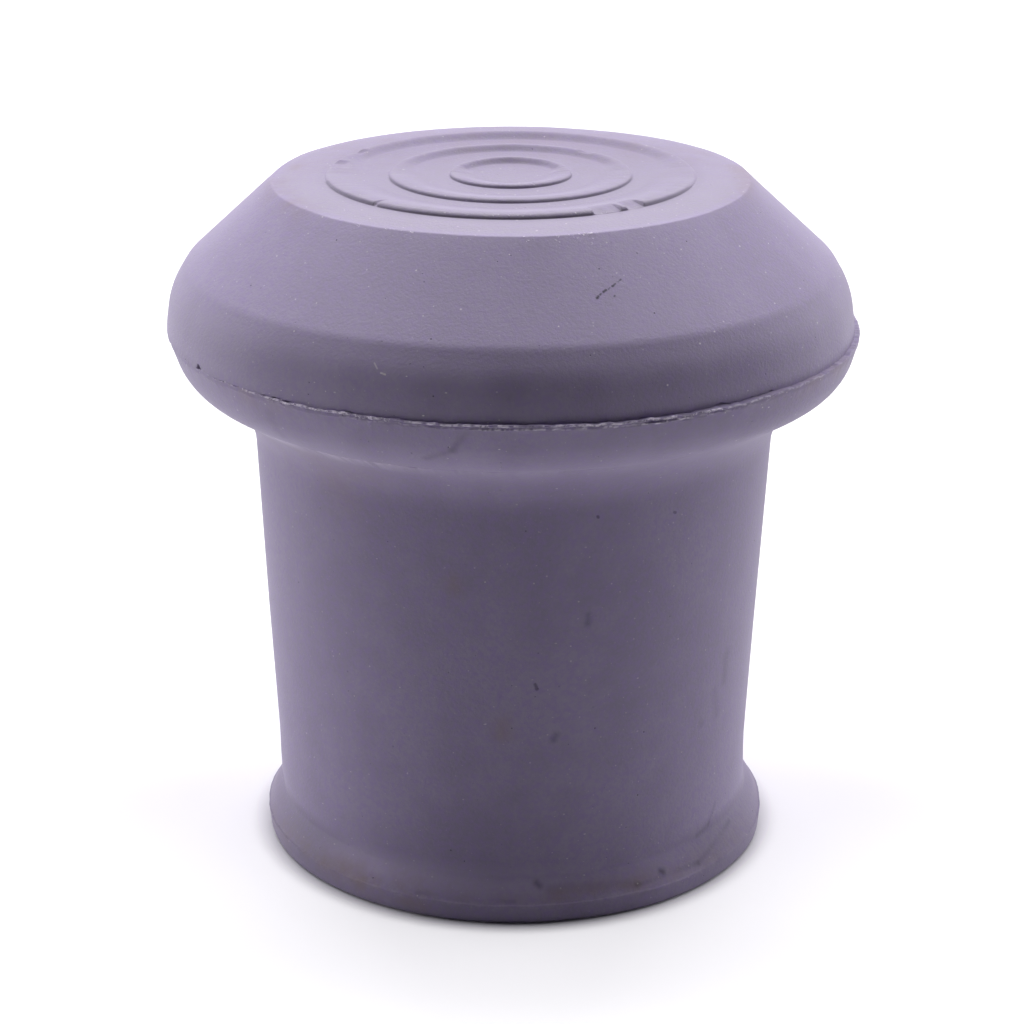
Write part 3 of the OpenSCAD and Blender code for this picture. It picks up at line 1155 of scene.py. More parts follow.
        # Painted shade near the floor, and the foot darkened at its sides.
        foot = rows.of(FOOT)
        near_floor = foot * ease((0.5 - rows.height) / 0.5) * (rows.radius > self.neck.foot_r - 1.0)
        foot_sides = foot * (rows.radius > self.foot_from) * (0.72 + self.foot_front_lighter.over(bearing))
        return rib + inner + thin + np.maximum(0.75 * near_floor, foot_sides)

    def masks(self) -> dict[str, Array]:
        """All the masks by name, rows by columns.

        Each is the cover that the method of its name gives, but for two.  `bore` is the bore's
        own skin.  `keen` says how strongly grain and dust show: 1 on the cap, more on its
        underside, and 0 on the neck and the foot.

        Returns:
            The masks, all but `keen` from 0 to 1.
        """
        rows, bearing = self.rows, self.bearing
        keen = 1.0 - rows.of(BORE, FOOT, NECK) + 0.7 * rows.of(BULGE)
        found = {"bore": rows.of(BORE), "keen": keen}
        for name in MASKS:
            if name not in found:
                found[name] = within(getattr(self, name)())
        shape = (len(rows.r), len(bearing))
        return {name: np.broadcast_to(found[name], shape) for name in MASKS}


# -------------------- skin


@dataclass(frozen=True)
class Shaping(Layout):
    """How the surface departs from the plain revolved outline.

    Each method up to `wear` gives how far the points move outwards and upwards, in mm.

    Attributes:
        uneven: Unevenness of the neck's and the cap's walls, mm.
    """

    uneven: float = 0.03

    def walls(self) -> Move:
        """Soft unevenness of the neck and the cap, and the fuller part of the cap's underside."""
        rows, bearing = self.rows, self.bearing
        neck = rows.of(NECK) * ripple(bearing, rows.z, 7, 3)
        cap = rows.of(CAP) * ripple(bearing, rows.z, 9, 4)
        under = rows.of(BULGE, FLASH) * ease((rows.height - self.neck.crease[1]) / 0.9)
        low, high = self.neck.swell_z
        under = under * (1.0 - 0.75 * ease((rows.height - low) / (high - low)))
        return self.uneven * (neck + cap) + under * self.neck.swell.over(bearing), 0.0

    def lip(self) -> Move:
        """The foot's moulding line wanders and is a little frayed, and its lower lip flares."""
        rows, bearing = self.rows, self.bearing
        foot, line_z = rows.of(FOOT), self.neck.foot_line_z
        line = foot * hump(rows.height, line_z, 0.12)
        below = foot * ease((line_z + 0.6 - rows.height) / 0.8) * (rows.radius > self.neck.foot_r - 1.0)
        out = line * ring_sum(bearing, (0.02, 90, 7), (0.015, 300, 8))
        up = line * ring_sum(bearing, (0.05, 22, 5), (0.02, 130, 6))
        return out + below * self.neck.flare.over(bearing), up

    def ridge(self) -> Move:
        """A thin ridge of flash along the crease under the cap, clearest at the left."""
        rows, bearing = self.rows, self.bearing
        crease = rows.of(CREASE) * rows.near(self.neck.crease, 0.09)
        height = within(0.012 + ring_sum(bearing, (0.01, 120, 9), (0.008, 520, 10)))
        height = height * (0.4 + self.neck.crease_shown.over(bearing))
        return crease * height, crease * (0.03 * ring_noise(bearing, 80, 13) - 0.8 * height)

    def frays(self) -> Move:
        """The two frayed edges of the flash, and the film that bridges the crevice where it is shut."""
        rows, bearing = self.rows, self.bearing
        parting, over = self.parting, rows.height - self.neck.parting_z
        on_ribbon = rows.of(FLASH) * (rows.radius > self.neck.parting_r - 0.15)
        upper, lower = on_ribbon * parting.upper.at(over), on_ribbon * parting.lower.at(over)
        high, low = parting.wander(bearing)
        film = on_ribbon * parting.film.at(over) * along(bearing, parting.frays, "edge", 0.1)
        film = film * np.clip(0.6 + 0.6 * ring_noise(bearing, 300, 24), 0.0, 1.3)
        film = film * within(1.0 - parting.opening(bearing))
        out = upper * parting.upper_ridge(bearing) + lower * parting.lower_ridge(bearing)
        return out + parting.film_out * film, upper * high + lower * low + parting.film_rise * film

    def crevice(self) -> Move:
        """Closes the crevice where it doesn't gape: its roof comes down and its wall comes out."""
        rows, bearing = self.rows, self.bearing
        inside, gape = rows.of(CREVICE), self.parting.opening(bearing)
        foot_r, foot_z = self.tread.band_foot
        room = np.clip(rows.height - self.neck.parting_z, 0.0, foot_z - self.neck.parting_z)
        shallow = 1.0 - np.clip(1.6 * gape, 0.06, 1.0)
        return inside * shallow * within(foot_r - rows.radius), inside * (gape - 1.0) * room

    def wear(self) -> Move:
        """The tread's edge is worn unevenly, and the ribs stand as wear has left them."""
        rows, bearing = self.rows, self.bearing
        edge = rows.of(CAP) * (rows.height > self.tread.edge_from)
        edge = edge * hump(rows.radius, self.tread.tread_edge[0], 0.5)
        out = edge * ring_sum(bearing, (0.035, 40, 61), (0.012, 210, 62))
        up = np.zeros_like(out)
        lift = rows.lift[:, None]
        for rib in self.tread.ribs:
            share, push, cut = self.tread.standing(rib, bearing, rib.across(rows.radius))
            here = rib.on(rows)
            up += here * self.tread.rib_h * np.minimum(lift * share, cut * (lift > 0.0))
            out += here * lift * push
            out += here * (self.tread.slope(bearing) - 1.0) * np.minimum(rows.radius - rib.radius, 0.0)
        return out, up

    def surface(self) -> Array:
        """Places of the whole grid.

        A point of row i and column j is at (axis + r cos b, axis + r sin b, z), where r and z are
        the outline's, moved by the unevenness of the walls, by the frays at the parting line, by
        the ridge along the crease and by the wear of the ribs, and the axis is that of the mould
        half that formed the row.

        Returns:
            The points, rows by columns by three, in mm.
        """
        rows, bearing = self.rows, self.bearing
        r = np.repeat(rows.radius, len(bearing), axis=1)
        z = np.repeat(rows.height, len(bearing), axis=1)
        for move in (self.walls, self.lip, self.ridge, self.frays, self.crevice, self.wear):
            out, up = move()
            r += out
            z += up

        # The parting plane tilts a little and wanders, and the cap rises towards the back.
        angle = np.radians(bearing)[None, :]
        top, foot_z = self.neck.parting_z, self.tread.band_foot[1]
        outside = 1.0 - rows.of(BORE, TREAD, OUTER_RIB)
        reach = [self.neck.crease[1], top, foot_z, self.tread.shoulder_high[1]]
        close = [top - 0.8, top - 0.44, foot_z + 0.05, foot_z + 0.5]
        z -= self.parting.tilt * outside * np.interp(rows.height, reach, FULL_BETWEEN) * np.cos(angle)
        z += outside * np.interp(rows.height, close, FULL_BETWEEN) * self.parting.drift(bearing)

        # Each half of the mould has its own axis, and the neck sways off it.
        half = rows.of(*(s for s in Stretch if s.on_tread_half))
        x = r * np.cos(angle) + half * self.tread.shift[0]
        x += rows.of(NECK) * self.neck.drift(rows.height)
        y = r * np.sin(angle) + half * self.tread.shift[1]
        risen = ease((rows.height - foot_z) / (self.tread.rise_full_z - foot_z))
        z += half * self.tread.rise_to_back * y * risen
        return np.stack([x, y, z], axis=2)


@dataclass
class Skin:
    """One closed surface over the whole moulding, a revolved outline with wear worked into it.

    Attributes:
        bore: The bore.
        neck: The lower half of the moulding.
        parting: The line between the halves.
        tread: The upper half.
        columns: Columns of the plain rows; the fine rows have `split` times as many.
        split: How many fine columns stand for one plain column.
        front_crowd: How much closer the columns stand at the front, 0 to 1.
    """

    bore: ShaftBore = field(default_factory=ShaftBore)
    neck: NeckHalf = field(default_factory=NeckHalf)
    parting: PartingLine = field(default_factory=PartingLine)
    tread: TreadHalf = field(default_factory=TreadHalf)
    columns: int = 268
    split: int = 4
    front_crowd: float = 0.3

    def rows(self) -> Rows:
        """All rows of the outline in order."""
        corners = self.bore.corners() + self.neck.corners()
        corners += self.parting.corners(self.neck, self.tread.band_foot) + self.tread.corners()
        return rows_through(corners).then(self.tread.top_rows())

    def bearings(self) -> Array:
        """Bearings of the fine columns: t less crowd x cosine of t, so that they crowd at the front."""
        t = np.linspace(0.0, 2.0 * math.pi, self.columns * self.split, endpoint=False)
        return np.degrees(t - self.front_crowd * np.cos(t))

    def mesh(self, name: str) -> bpy.types.Mesh:
        """The closed mesh, with its masks as attributes of its points."""
        rows, bearing = self.rows(), self.bearings()
        laid = (self.neck, self.parting, self.tread, rows, bearing)
        points, masks = Shaping(*laid).surface(), Weathering(*laid).masks()
        fine = rows.of(*(s for s in Stretch if s.fine))[:, 0] > 0.0
        poles = (0, len(rows.r) - 1)
        picks = [
            np.array([0]) if i in poles else np.arange(0, len(bearing), 1 if fine[i] else self.split)
            for i in range(len(rows.r))
        ]
        start = np.concatenate([[0], np.cumsum([len(p) for p in picks])])
        places = np.concatenate([points[i, p] for i, p in enumerate(picks)]) * MM
        faces: list[tuple[int, ...]] = []
        for i in range(len(picks) - 1):
            faces += strip(start[i], len(picks[i]), start[i + 1], len(picks[i + 1]))
        mesh = bpy.data.meshes.new(name)
        mesh.from_pydata(places, [], faces)
        mesh.polygons.foreach_set("use_smooth", np.ones(len(mesh.polygons), dtype=bool))
        for label, values in masks.items():
            layer = mesh.attributes.new(label, "FLOAT", "POINT")
            flat = np.concatenate([values[i, p] for i, p in enumerate(picks)])
            layer.data.foreach_set("value", flat.astype(np.float32))
        mesh.update()
        return mesh


def strip(low: int, low_count: int, high: int, high_count: int) -> list[tuple[int, ...]]:
    """Faces between two rings of points whose counts are equal, or of which one divides the other.

    Equal rings are joined by four-sided faces.  A ring of one point is a pole.  Where one ring
    is finer, each of its faces leans on the nearer point of the plain ring.

    Args:
        low: Number of the first point of the ring that comes first.
        low_count: Points of that ring.
        high: Number of the first point of the next ring.
        high_count: Points of that ring.

    Returns:
        The faces, turned outwards for a ring that runs counter-clockwise.
    """
    if low_count == high_count:
        a = np.arange(low_count)
        b = (a + 1) % low_count
        return list(map(tuple, np.stack([low + a, low + b, high + b, high + a], axis=1).tolist()))
    rising = low_count < high_count
    plain, fine = (low_count, high_count) if rising else (high_count, low_count)
    plain_start, fine_start = (low, high) if rising else (high, low)
    split = fine // plain
    j = np.arange(fine)
    owner = (j + split // 2) // split % plain
    after = (j + 1) % fine
    next_owner = owner[after]
    faces = np.stack([plain_start + owner, fine_start + after, fine_start + j], axis=1)
    turn = owner != next_owner
    gaps = np.stack([plain_start + owner, plain_start + next_owner, fine_start + after], axis=1)[turn]
    both = np.concatenate([faces, gaps])
    if not rising:
        both = both[:, ::-1]
    return list(map(tuple, both.tolist()))


# -------------------- finish


Socket = bpy.types.NodeSocket
Feed = Socket | float | tuple


class Wiring:
    """Adds the nodes of one tree and joins them, so that a finish reads as a sum."""

    def __init__(self, tree: bpy.types.NodeTree) -> None:
        """Takes the tree and starts at its left."""
        self.tree = tree
        self.count = 0

    def add(self, kind: str, **settings: object) -> bpy.types.Node:
        """Adds a node.

        Args:
            kind: Its type.
            **settings: Its settings by name.

        Returns:
            The node.
        """
        node = self.tree.nodes.new(kind)
        node.location = (220.0 * (self.count % 12), -260.0 * (self.count // 12))
        self.count += 1
        for name, value in settings.items():
            setattr(node, name, value)
        return node

    def feed(self, socket: Socket, value: Feed) -> None:
        """Joins another socket to an input, or sets the input's value.

        Args:
            socket: The input.
            value: The other socket or the value.
        """
        if isinstance(value, bpy.types.NodeSocket):
            self.tree.links.new(value, socket)
        elif isinstance(value, tuple) and socket.type == "RGBA":
            socket.default_value = (*value[:3], 1.0)
        else:
            socket.default_value = value

    def fill(self, node: bpy.types.Node, **values: Feed) -> bpy.types.Node:
        """Feeds a node's inputs by name; an underscore stands for a space."""
        for name, value in values.items():
            self.feed(node.inputs[name.replace("_", " ")], value)
        return node

    def math(self, operation: str, first: Feed, second: Feed = 0.0, clamp: bool = False) -> Socket:
        """A Math node on one or two values.

        Args:
            operation: What it does.
            first: Its first value.
            second: Its second value.
            clamp: Whether the result is held between 0 and 1.

        Returns:
            The result.
        """
        node = self.add("ShaderNodeMath", operation=operation, use_clamp=clamp)
        self.feed(node.inputs[0], first)
        self.feed(node.inputs[1], second)
        return node.outputs[0]

    def vector(self, operation: str, first: Feed, second: Feed = (0.0, 0.0, 0.0)) -> bpy.types.Node:
        """A Vector Math node on one or two vectors.

        Args:
            operation: What it does.
            first: Its first vector.
            second: Its second vector.

        Returns:
            The node, because some operations give a vector and some a value.
        """
        node = self.add("ShaderNodeVectorMath", operation=operation)
        self.feed(node.inputs[0], first)
        self.feed(node.inputs[1], second)
        return node

    def scaled(self, vector: Feed, factor: Feed) -> Socket:
        """A vector times a number."""
        node = self.add("ShaderNodeVectorMath", operation="SCALE")
        return self.fill(node, Vector=vector, Scale=factor).outputs[0]

    def span(self, value: Feed, low: Feed, high: Feed, to_low: Feed = 0.0, to_high: Feed = 1.0) -> Socket:
        """A value eased from one span to another.

        Args:
            value: The value.
            low: Where the first span begins.
            high: Where it ends.
            to_low: What the low end becomes.
            to_high: What the high end becomes.

        Returns:
            The result.
        """
        node = self.add("ShaderNodeMapRange", interpolation_type="SMOOTHSTEP")
        self.fill(node, Value=value, From_Min=low, From_Max=high, To_Min=to_low, To_Max=to_high)
        return node.outputs["Result"]

    def mix(self, share: Feed, under: Feed, over: Feed) -> Socket:
        """One colour laid over another.

        Args:
            share: How strongly the upper colour covers, 0 to 1.
            under: The lower colour.
            over: The upper colour.

        Returns:
            The mixed colour.
        """
        node = self.add("ShaderNodeMix", data_type="RGBA", clamp_factor=True)
        self.feed(node.inputs[0], share)
        self.feed(node.inputs[6], under)
        self.feed(node.inputs[7], over)
        return node.outputs[2]

    def lay(self, under: Feed, mask: Feed, share: Feed, over: Feed) -> Socket:
        """One colour laid over another through a mask, by a share of it."""
        return self.mix(self.math("MULTIPLY", mask, share), under, over)

    def noise(self, vector: Feed, scale: Feed, detail: float, roughness: float) -> Socket:
        """A Noise Texture read at a vector, with its scale in waves per metre."""
        node = self.add("ShaderNodeTexNoise", noise_dimensions="3D")
        self.fill(node, Vector=vector, Scale=scale, Detail=detail, Roughness=roughness)
        return node.outputs[0]

    def place(self, group: bpy.types.NodeTree, **values: Feed) -> bpy.types.Node:
        """Puts a node group in the tree and feeds its inputs by name."""
        return self.fill(self.add("ShaderNodeGroup", node_tree=group), **values)


def cleared(made: bpy.types.Material | bpy.types.World) -> Wiring:
    """Wiring of a material's or a world's own tree, once that is empty."""
    made.use_nodes = True
    made.node_tree.nodes.clear()
    return Wiring(made.node_tree)


def new_group(
    name: str, inputs: dict[str, float | None], outputs: tuple[str, ...]
) -> tuple[Wiring, Sockets, bpy.types.Node]:
    """An empty node group with its sockets.

    Args:
        name: The group's name.
        inputs: Its inputs by name: what a value usually is, or None for a vector.
        outputs: Names of its outputs, each a value.

    Returns:
        The group's wiring, its inputs by name and its output node.
    """
    group = bpy.data.node_groups.new(name, "ShaderNodeTree")
    for label, usual in inputs.items():
        kind = "NodeSocketVector" if usual is None else "NodeSocketFloat"
        socket = group.interface.new_socket(label, in_out="INPUT", socket_type=kind)
        if usual is not None:
            socket.default_value = usual
    for label in outputs:
        group.interface.new_socket(label, in_out="OUTPUT", socket_type="NodeSocketFloat")
    given, out = group.nodes.new("NodeGroupInput"), group.nodes.new("NodeGroupOutput")
    return Wiring(group), {label: given.outputs[label] for label in inputs}, out


def smear_group() -> bpy.types.NodeTree:
    """A mark drawn from one point to another.

    The distance is that of the point from its nearest point on the line between them, over the
    reach, and noise frays it.  The mask falls from 1 at the core to 0 at the reach.

    Returns:
        The group.
    """
    inputs = {
        "Vector": None, "Start": None, "Stop": None,
        "Reach": 0.001, "Core": 0.35, "Waves": 2600.0, "Fray": 0.3,
    }
    w, value, out = new_group("smear", inputs, ("Mask",))
    way = w.vector("SUBTRACT", value["Stop"], value["Start"]).outputs[0]
    gone = w.vector("SUBTRACT", value["Vector"], value["Start"]).outputs[0]
    ahead = w.vector("DOT_PRODUCT", gone, way).outputs["Value"]
    whole = w.math("MAXIMUM", w.vector("DOT_PRODUCT", way, way).outputs["Value"], 1e-12)
    share = w.math("DIVIDE", ahead, whole, clamp=True)
    off = w.vector("SUBTRACT", gone, w.scaled(way, share)).outputs[0]
    distance = w.math("DIVIDE", w.vector("LENGTH", off).outputs["Value"], value["Reach"])
    grain = w.noise(value["Vector"], value["Waves"], 2.0, 0.6)
    frayed = w.math("MULTIPLY", w.math("SUBTRACT", grain, 0.5), value["Fray"])
    frayed = w.math("ADD", distance, frayed)
    w.fill(out, Mask=w.span(frayed, 1.0, value["Core"]))
    return w.tree


def speck_group() -> bpy.types.NodeTree:
    """Scattered specks of many sizes.

    One point stands in each cell of a Voronoi pattern.  A random number of the cell decides
    whether it bears a speck, a second one how large it is and a third one how strong, and the
    mask eases from 1 inside to 0 outside.

    Returns:
        The group.
    """
    inputs = {"Vector": None, "Cells": 1000.0, "Share": 0.3, "Radius": 0.06}
    w, value, out = new_group("specks", inputs, ("Mask",))
    cells = w.add("ShaderNodeTexVoronoi", voronoi_dimensions="3D", feature="F1")
    w.fill(cells, Vector=value["Vector"], Scale=value["Cells"])
    chance = w.add("ShaderNodeSeparateColor")
    w.feed(chance.inputs[0], cells.outputs["Color"])
    bears = w.math("LESS_THAN", chance.outputs[0], value["Share"])
    size = w.math("MULTIPLY", value["Radius"], w.math("ADD", chance.outputs[1], 0.35))
    ratio = w.math("DIVIDE", cells.outputs["Distance"], size)
    mask = w.math("MULTIPLY", w.span(ratio, 1.0, 0.5), bears)
    w.fill(out, Mask=w.math("MULTIPLY", mask, w.span(chance.outputs[2], 0.0, 1.0, 0.4, 1.0)))
    return w.tree


def grain_group() -> bpy.types.NodeTree:
    """Fine matt grain of moulded rubber: a close noise for height, and looser ones for tone."""
    w, value, out = new_group("rubber_grain", {"Vector": None, "Waves": 4000.0}, ("Tone", "Height"))
    close = w.noise(value["Vector"], value["Waves"], 3.0, 0.65)
    loose = w.noise(value["Vector"], 420.0, 4.0, 0.6)
    cloud = w.noise(value["Vector"], 110.0, 3.0, 0.5)
    tone = w.math("ADD", w.math("MULTIPLY", loose, 0.35), w.math("MULTIPLY", cloud, 0.45))
    w.fill(out, Tone=w.math("ADD", tone, w.math("MULTIPLY", close, 0.2)), Height=close)
    return w.tree


class MarkKind(Enum):
    """What a mark on the rubber is made of."""

    SOIL = "brown soil"
    SMUDGE = "soft dark smudge"
    PIT = "dark pit"
    SCUFF = "light scuff"


SOIL, SMUDGE, PIT, SCUFF = MarkKind


@dataclass(frozen=True)
class Mark:
    """A mark on the skin, drawn between two places given as bearing and height.

    Attributes:
        kind: What it is made of.
        start: Bearing in degrees and height in mm of its first end.
        stop: The same of its other end.
        reach: How far it spreads on either side, mm.
        strength: How strongly it covers the rubber, 0 to 1.
    """

    kind: MarkKind
    start: Place
    stop: Place
    reach: float
    strength: float


@dataclass(frozen=True)
class Stain:
    """How the marks of one kind look.

    Attributes:
        kind: The kind.
        colour: Their colour.
        core: Share of the reach, from the middle, that is fully covered; below 0 it never is.
        waves: Waves per metre of the noise that frays the edge.
        fray: How deeply it is frayed, as a share of the reach.
    """

    kind: MarkKind
    colour: Colour
    core: float
    waves: float
    fray: float


@dataclass(frozen=True)
class Scatter:
    """Specks strewn over the skin.

    Attributes:
        cells: Cells of the pattern per metre.
        share: Share of the cells that bear a speck.
        radius: Radius of a middling speck, in cells.
        cover: How strongly a speck covers the rubber.
        stretch: How much the pattern is drawn out along each axis.
    """

    cells: float
    share: float
    radius: float
    cover: float
    stretch: tuple[float, float, float] = (1.0, 1.0, 1.0)

    def mask(self, w: Wiring, specks: bpy.types.NodeTree, at: Socket) -> Socket:
        """The specks' mask at a vector, from the group of specks."""
        return w.place(specks, Vector=at, Cells=self.cells, Share=self.share, Radius=self.radius).outputs[0]


@dataclass(frozen=True)
class Patchiness:
    """Noise that breaks a coat of colour up.

    Attributes:
        waves: Its waves per metre.
        detail: How many finer noises are added to it.
        roughness: How strong those are.
        low: Value of the noise at which the coat begins to show.
        high: Value from which it shows fully.
    """

    waves: float
    detail: float
    roughness: float
    low: float
    high: float

    def mask(self, w: Wiring, at: Socket, most: float = 1.0) -> Socket:
        """How far the coat shows at a vector, from 0 to `most`."""
        return w.span(w.noise(at, self.waves, self.detail, self.roughness), self.low, self.high, 0.0, most)


@dataclass(frozen=True)
class Coat:
    """A colour laid over the rubber through one mask of the skin.

    Attributes:
        mask: The mask.
        share: How strongly the colour covers where the mask is 1.
        colour: The colour.
        patchy: What breaks it up, if anything does.
    """

    mask: str
    share: float
    colour: Colour
    patchy: Patchiness | None = None


@dataclass(frozen=True)
class RubberFinish:
    """Matt grey-violet rubber, dusty, lightly soiled and pale where it has been rubbed, with painted shade,
    highlights and sheen.

    Attributes:
        base: The rubber's colour.
        shade: The same where the grain is darker.
        violet: The violet that the rubber turns to in patches.
        violet_most: How strongly it does.
        violet_patches: Those patches.
        dark: Colour of pits and smudges, and of the painted shade in shut folds, on the ribs, the foot, the
            lower cap and the neck.
        dust: Colour of dust specks.
        film: Colour of the torn flecks of flash, and of the highlights painted on its torn edges and along
            the crease.
        powder_and_light: Colour of the painted light on up-facing slopes and on what is seen edge-on, and of
            the dust round the band.
        under: Coats that the marks lie on.
        over: Coats that lie on the marks.
        tone: Values of the grain between which the shade passes into the base.
        grain_waves: Waves per metre of the close grain.
        grain_height: Height of the grain in the bump, where nothing is keen.
        grain_keen: How much is added to it where the `keen` mask is 1.
        bump_height: Distance in m that a height of 1 stands for.
        roughness: Middle of the roughness.
        roughness_span: How far grain moves it either way.
        soil_roughness: How much rougher soil is.
        specular: Specular level.
        sheen: Weight of the sheen.
        sheen_roughness: Its roughness.
        edge_sheen: How strongly that colour is painted where the skin is seen edge-on, a painted sheen.
        dusting: Light specks of dust.
        dull: How strongly those show where nothing is keen, as a share.
        pitting: Dark pits.
        pit_offset: Shift of their pattern from the dust's, m.
        pit_depth: How deep a pit is in the bump.
        fleck_gate: Value of the noise above which flecks show where their mask is 0.
        fleck_give: How much lower that is where it is 1.
        fleck_edge: Width of the step at the gate.
        fleck_share: How strongly flecks cover.
        fleck_height: How high they stand in the bump.
        stains: How each kind of mark looks.
        marks: The marks, in the order in which they are laid.
    """

    base: Colour = linear(146, 136, 164)
    shade: Colour = linear(132, 122, 149)
    violet: Colour = linear(138, 121, 169)
    violet_most: float = 0.78
    violet_patches: Patchiness = Patchiness(2900.0, 3.0, 0.7, 0.4, 0.66)
    dark: Colour = linear(46, 39, 55)
    dust: Colour = linear(226, 218, 222)
    film: Colour = linear(244, 234, 252)
    powder_and_light: Colour = linear(190, 178, 210)
    under: tuple[Coat, ...] = (
        # Dust over the top with painted shade behind the ribs; then painted light on up-facing slopes.
        Coat("shelf", 0.32, linear(188, 183, 186)),
        Coat("slope", 0.36, powder_and_light),
        Coat("soil", 0.8, linear(136, 118, 120), Patchiness(520.0, 4.0, 0.65, 0.34, 0.7)),
        Coat("pale", 0.5, linear(172, 162, 181), Patchiness(1900.0, 3.0, 0.7, 0.4, 0.62)),
    )
    over: tuple[Coat, ...] = (
        # Painted shade: in the crevice and the flash's folds, then on the ribs, the foot, the lower cap and
        # the neck.
        Coat("cleft", 0.65, dark),
        Coat("grime", 0.62, dark),
        Coat("bore", 0.8, linear(110, 101, 126)),
    )
    tone: Span = (0.41, 0.59)
    grain_waves: float = 5200.0
    grain_height: float = 1.35
    grain_keen: float = 0.45
    bump_height: float = 0.000016
    roughness: float = 0.6
    roughness_span: float = 0.04
    soil_roughness: float = 0.06
    specular: float = 0.28
    sheen: float = 0.1
    sheen_roughness: float = 0.4
    edge_sheen: float = 0.3
    dusting: tuple[Scatter, ...] = (
        Scatter(2300.0, 0.46, 0.12, 0.85),
        Scatter(1300.0, 0.42, 0.08, 1.0, (0.8, 0.8, 1.5)),
        Scatter(3600.0, 0.4, 0.13, 0.4),
    )
    dull: float = 0.5
    pitting: Scatter = Scatter(1500.0, 0.5, 0.08, 0.8)
    pit_offset: tuple[float, float, float] = (0.013, 0.027, 0.041)
    pit_depth: float = 2.0
    fleck_gate: float = 0.78
    fleck_give: float = 0.42
    fleck_edge: float = 0.07
    fleck_share: float = 0.8
    fleck_height: float = 1.5
    stains: tuple[Stain, ...] = (
        Stain(SOIL, linear(136, 118, 120), -0.3, 900.0, 0.9),
        Stain(SMUDGE, dark, -0.2, 1300.0, 0.6),
        Stain(PIT, dark, 0.3, 4200.0, 0.9),
        Stain(SCUFF, dust, 0.2, 5200.0, 1.1),
    )
    marks: tuple[Mark, ...] = (
        Mark(SCUFF, (-111.4, 34.2), (-110.8, 33.95), 0.07, 0.6),
        Mark(SCUFF, (-110.1, 33.75), (-109.4, 33.72), 0.08, 0.8),
        Mark(PIT, (-74.3, 37.15), (-74.0, 37.2), 0.13, 1.0),
        Mark(PIT, (-73.6, 37.26), (-73.4, 37.3), 0.1, 0.95),
        Mark(PIT, (-72.8, 37.38), (-72.2, 37.44), 0.11, 1.0),
        Mark(PIT, (-71.7, 37.47), (-71.4, 37.52), 0.09, 0.9),
        Mark(PIT, (-70.8, 37.58), (-70.0, 37.68), 0.1, 1.0),
        Mark(PIT, (-69.4, 37.74), (-68.7, 37.82), 0.09, 0.95),
        Mark(PIT, (-70.2, 37.95), (-70.1, 37.98), 0.07, 0.8),
        Mark(PIT, (-71.0, 37.15), (-70.9, 37.18), 0.1, 0.8),
        Mark(SMUDGE, (-97.3, 31.0), (-99.5, 29.9), 0.4, 0.34),
        Mark(SMUDGE, (-99.5, 29.9), (-104.1, 29.2), 0.4, 0.3),
        Mark(SMUDGE, (-131.5, 30.4), (-131.0, 29.0), 0.7, 0.14),
        Mark(SOIL, (-133.1, 27.4), (-128.0, 24.6), 2.4, 0.25),
        Mark(SOIL, (-128.0, 27.2), (-118.0, 26.8), 1.4, 0.15),
        Mark(SMUDGE, (-32.1, 13.6), (-32.2, 11.9), 0.7, 0.3),
        Mark(SMUDGE, (-36.2, 11.6), (-34.9, 10.0), 0.6, 0.2),
        Mark(SMUDGE, (-41.1, 10.0), (-41.0, 9.9), 0.5, 0.25),
        Mark(SOIL, (-103.1, 20.8), (-102.8, 20.4), 0.9, 0.5),
        Mark(PIT, (-85.5, 14.7), (-85.1, 14.4), 0.14, 0.6),
        Mark(SOIL, (-92.7, 12.3), (-92.5, 11.6), 1.0, 0.5),
        Mark(SMUDGE, (-80.7, 11.5), (-81.3, 11.2), 0.4, 0.4),
        Mark(PIT, (-72.6, 24.5), (-72.5, 24.45), 0.14, 0.7),
        Mark(PIT, (-54.3, 23.95), (-54.0, 23.9), 0.14, 0.6),
        Mark(SMUDGE, (-74.2, 18.7), (-74.2, 18.2), 0.4, 0.4),
        Mark(SMUDGE, (-85.1, 2.3), (-84.4, 2.15), 0.4, 0.5),
        Mark(SMUDGE, (-82.0, 2.0), (-62.0, 1.6), 0.5, 0.22),
        Mark(SOIL, (-80.0, 1.8), (-62.0, 1.6), 0.6, 0.4),
        Mark(SMUDGE, (-62.0, 1.5), (-44.0, 1.5), 0.3, 0.4),
        Mark(SMUDGE, (-55.0, 1.85), (-54.5, 1.8), 0.38, 0.75),
        Mark(SMUDGE, (-44.0, 1.5), (-27.0, 2.3), 0.3, 0.42),
        Mark(SMUDGE, (-33.0, 4.0), (-36.0, 3.0), 0.3, 0.3),
        Mark(SMUDGE, (-36.0, 3.0), (-41.0, 2.7), 0.3, 0.3),
        # A darker line along the groove over the foot's line, across the front.
        Mark(SMUDGE, (-112.0, 1.42), (-90.0, 1.42), 0.24, 0.18),
        Mark(SOIL, (-136.2, 1.5), (-126.2, 1.3), 0.9, 0.4),
        Mark(SOIL, (172.3, 39.95), (168.5, 39.95), 0.7, 0.5),
        Mark(PIT, (-149.3, 31.66), (-148.6, 31.6), 0.13, 0.8),
    )

    def spot(self, skin: Skin, place: Place) -> tuple[float, float, float]:
        """Point of the skin at a place.

        Args:
            skin: The skin.
            place: Bearing in degrees and height in mm.

        Returns:
            The point, m.
        """
        rows = skin.rows()
        outside = rows.of(FOOT, NECK, BULGE, CAP)[:, 0] > 0.0
        bearing, height = math.radians(place[0]), place[1]
        radius = float(np.interp(height, rows.z[outside], rows.r[outside]))
        shift = skin.tread.shift if height > skin.neck.parting_z else (0.0, 0.0)
        x, y = radius * math.cos(bearing) + shift[0], radius * math.sin(bearing) + shift[1]
        return x * MM, y * MM, height * MM

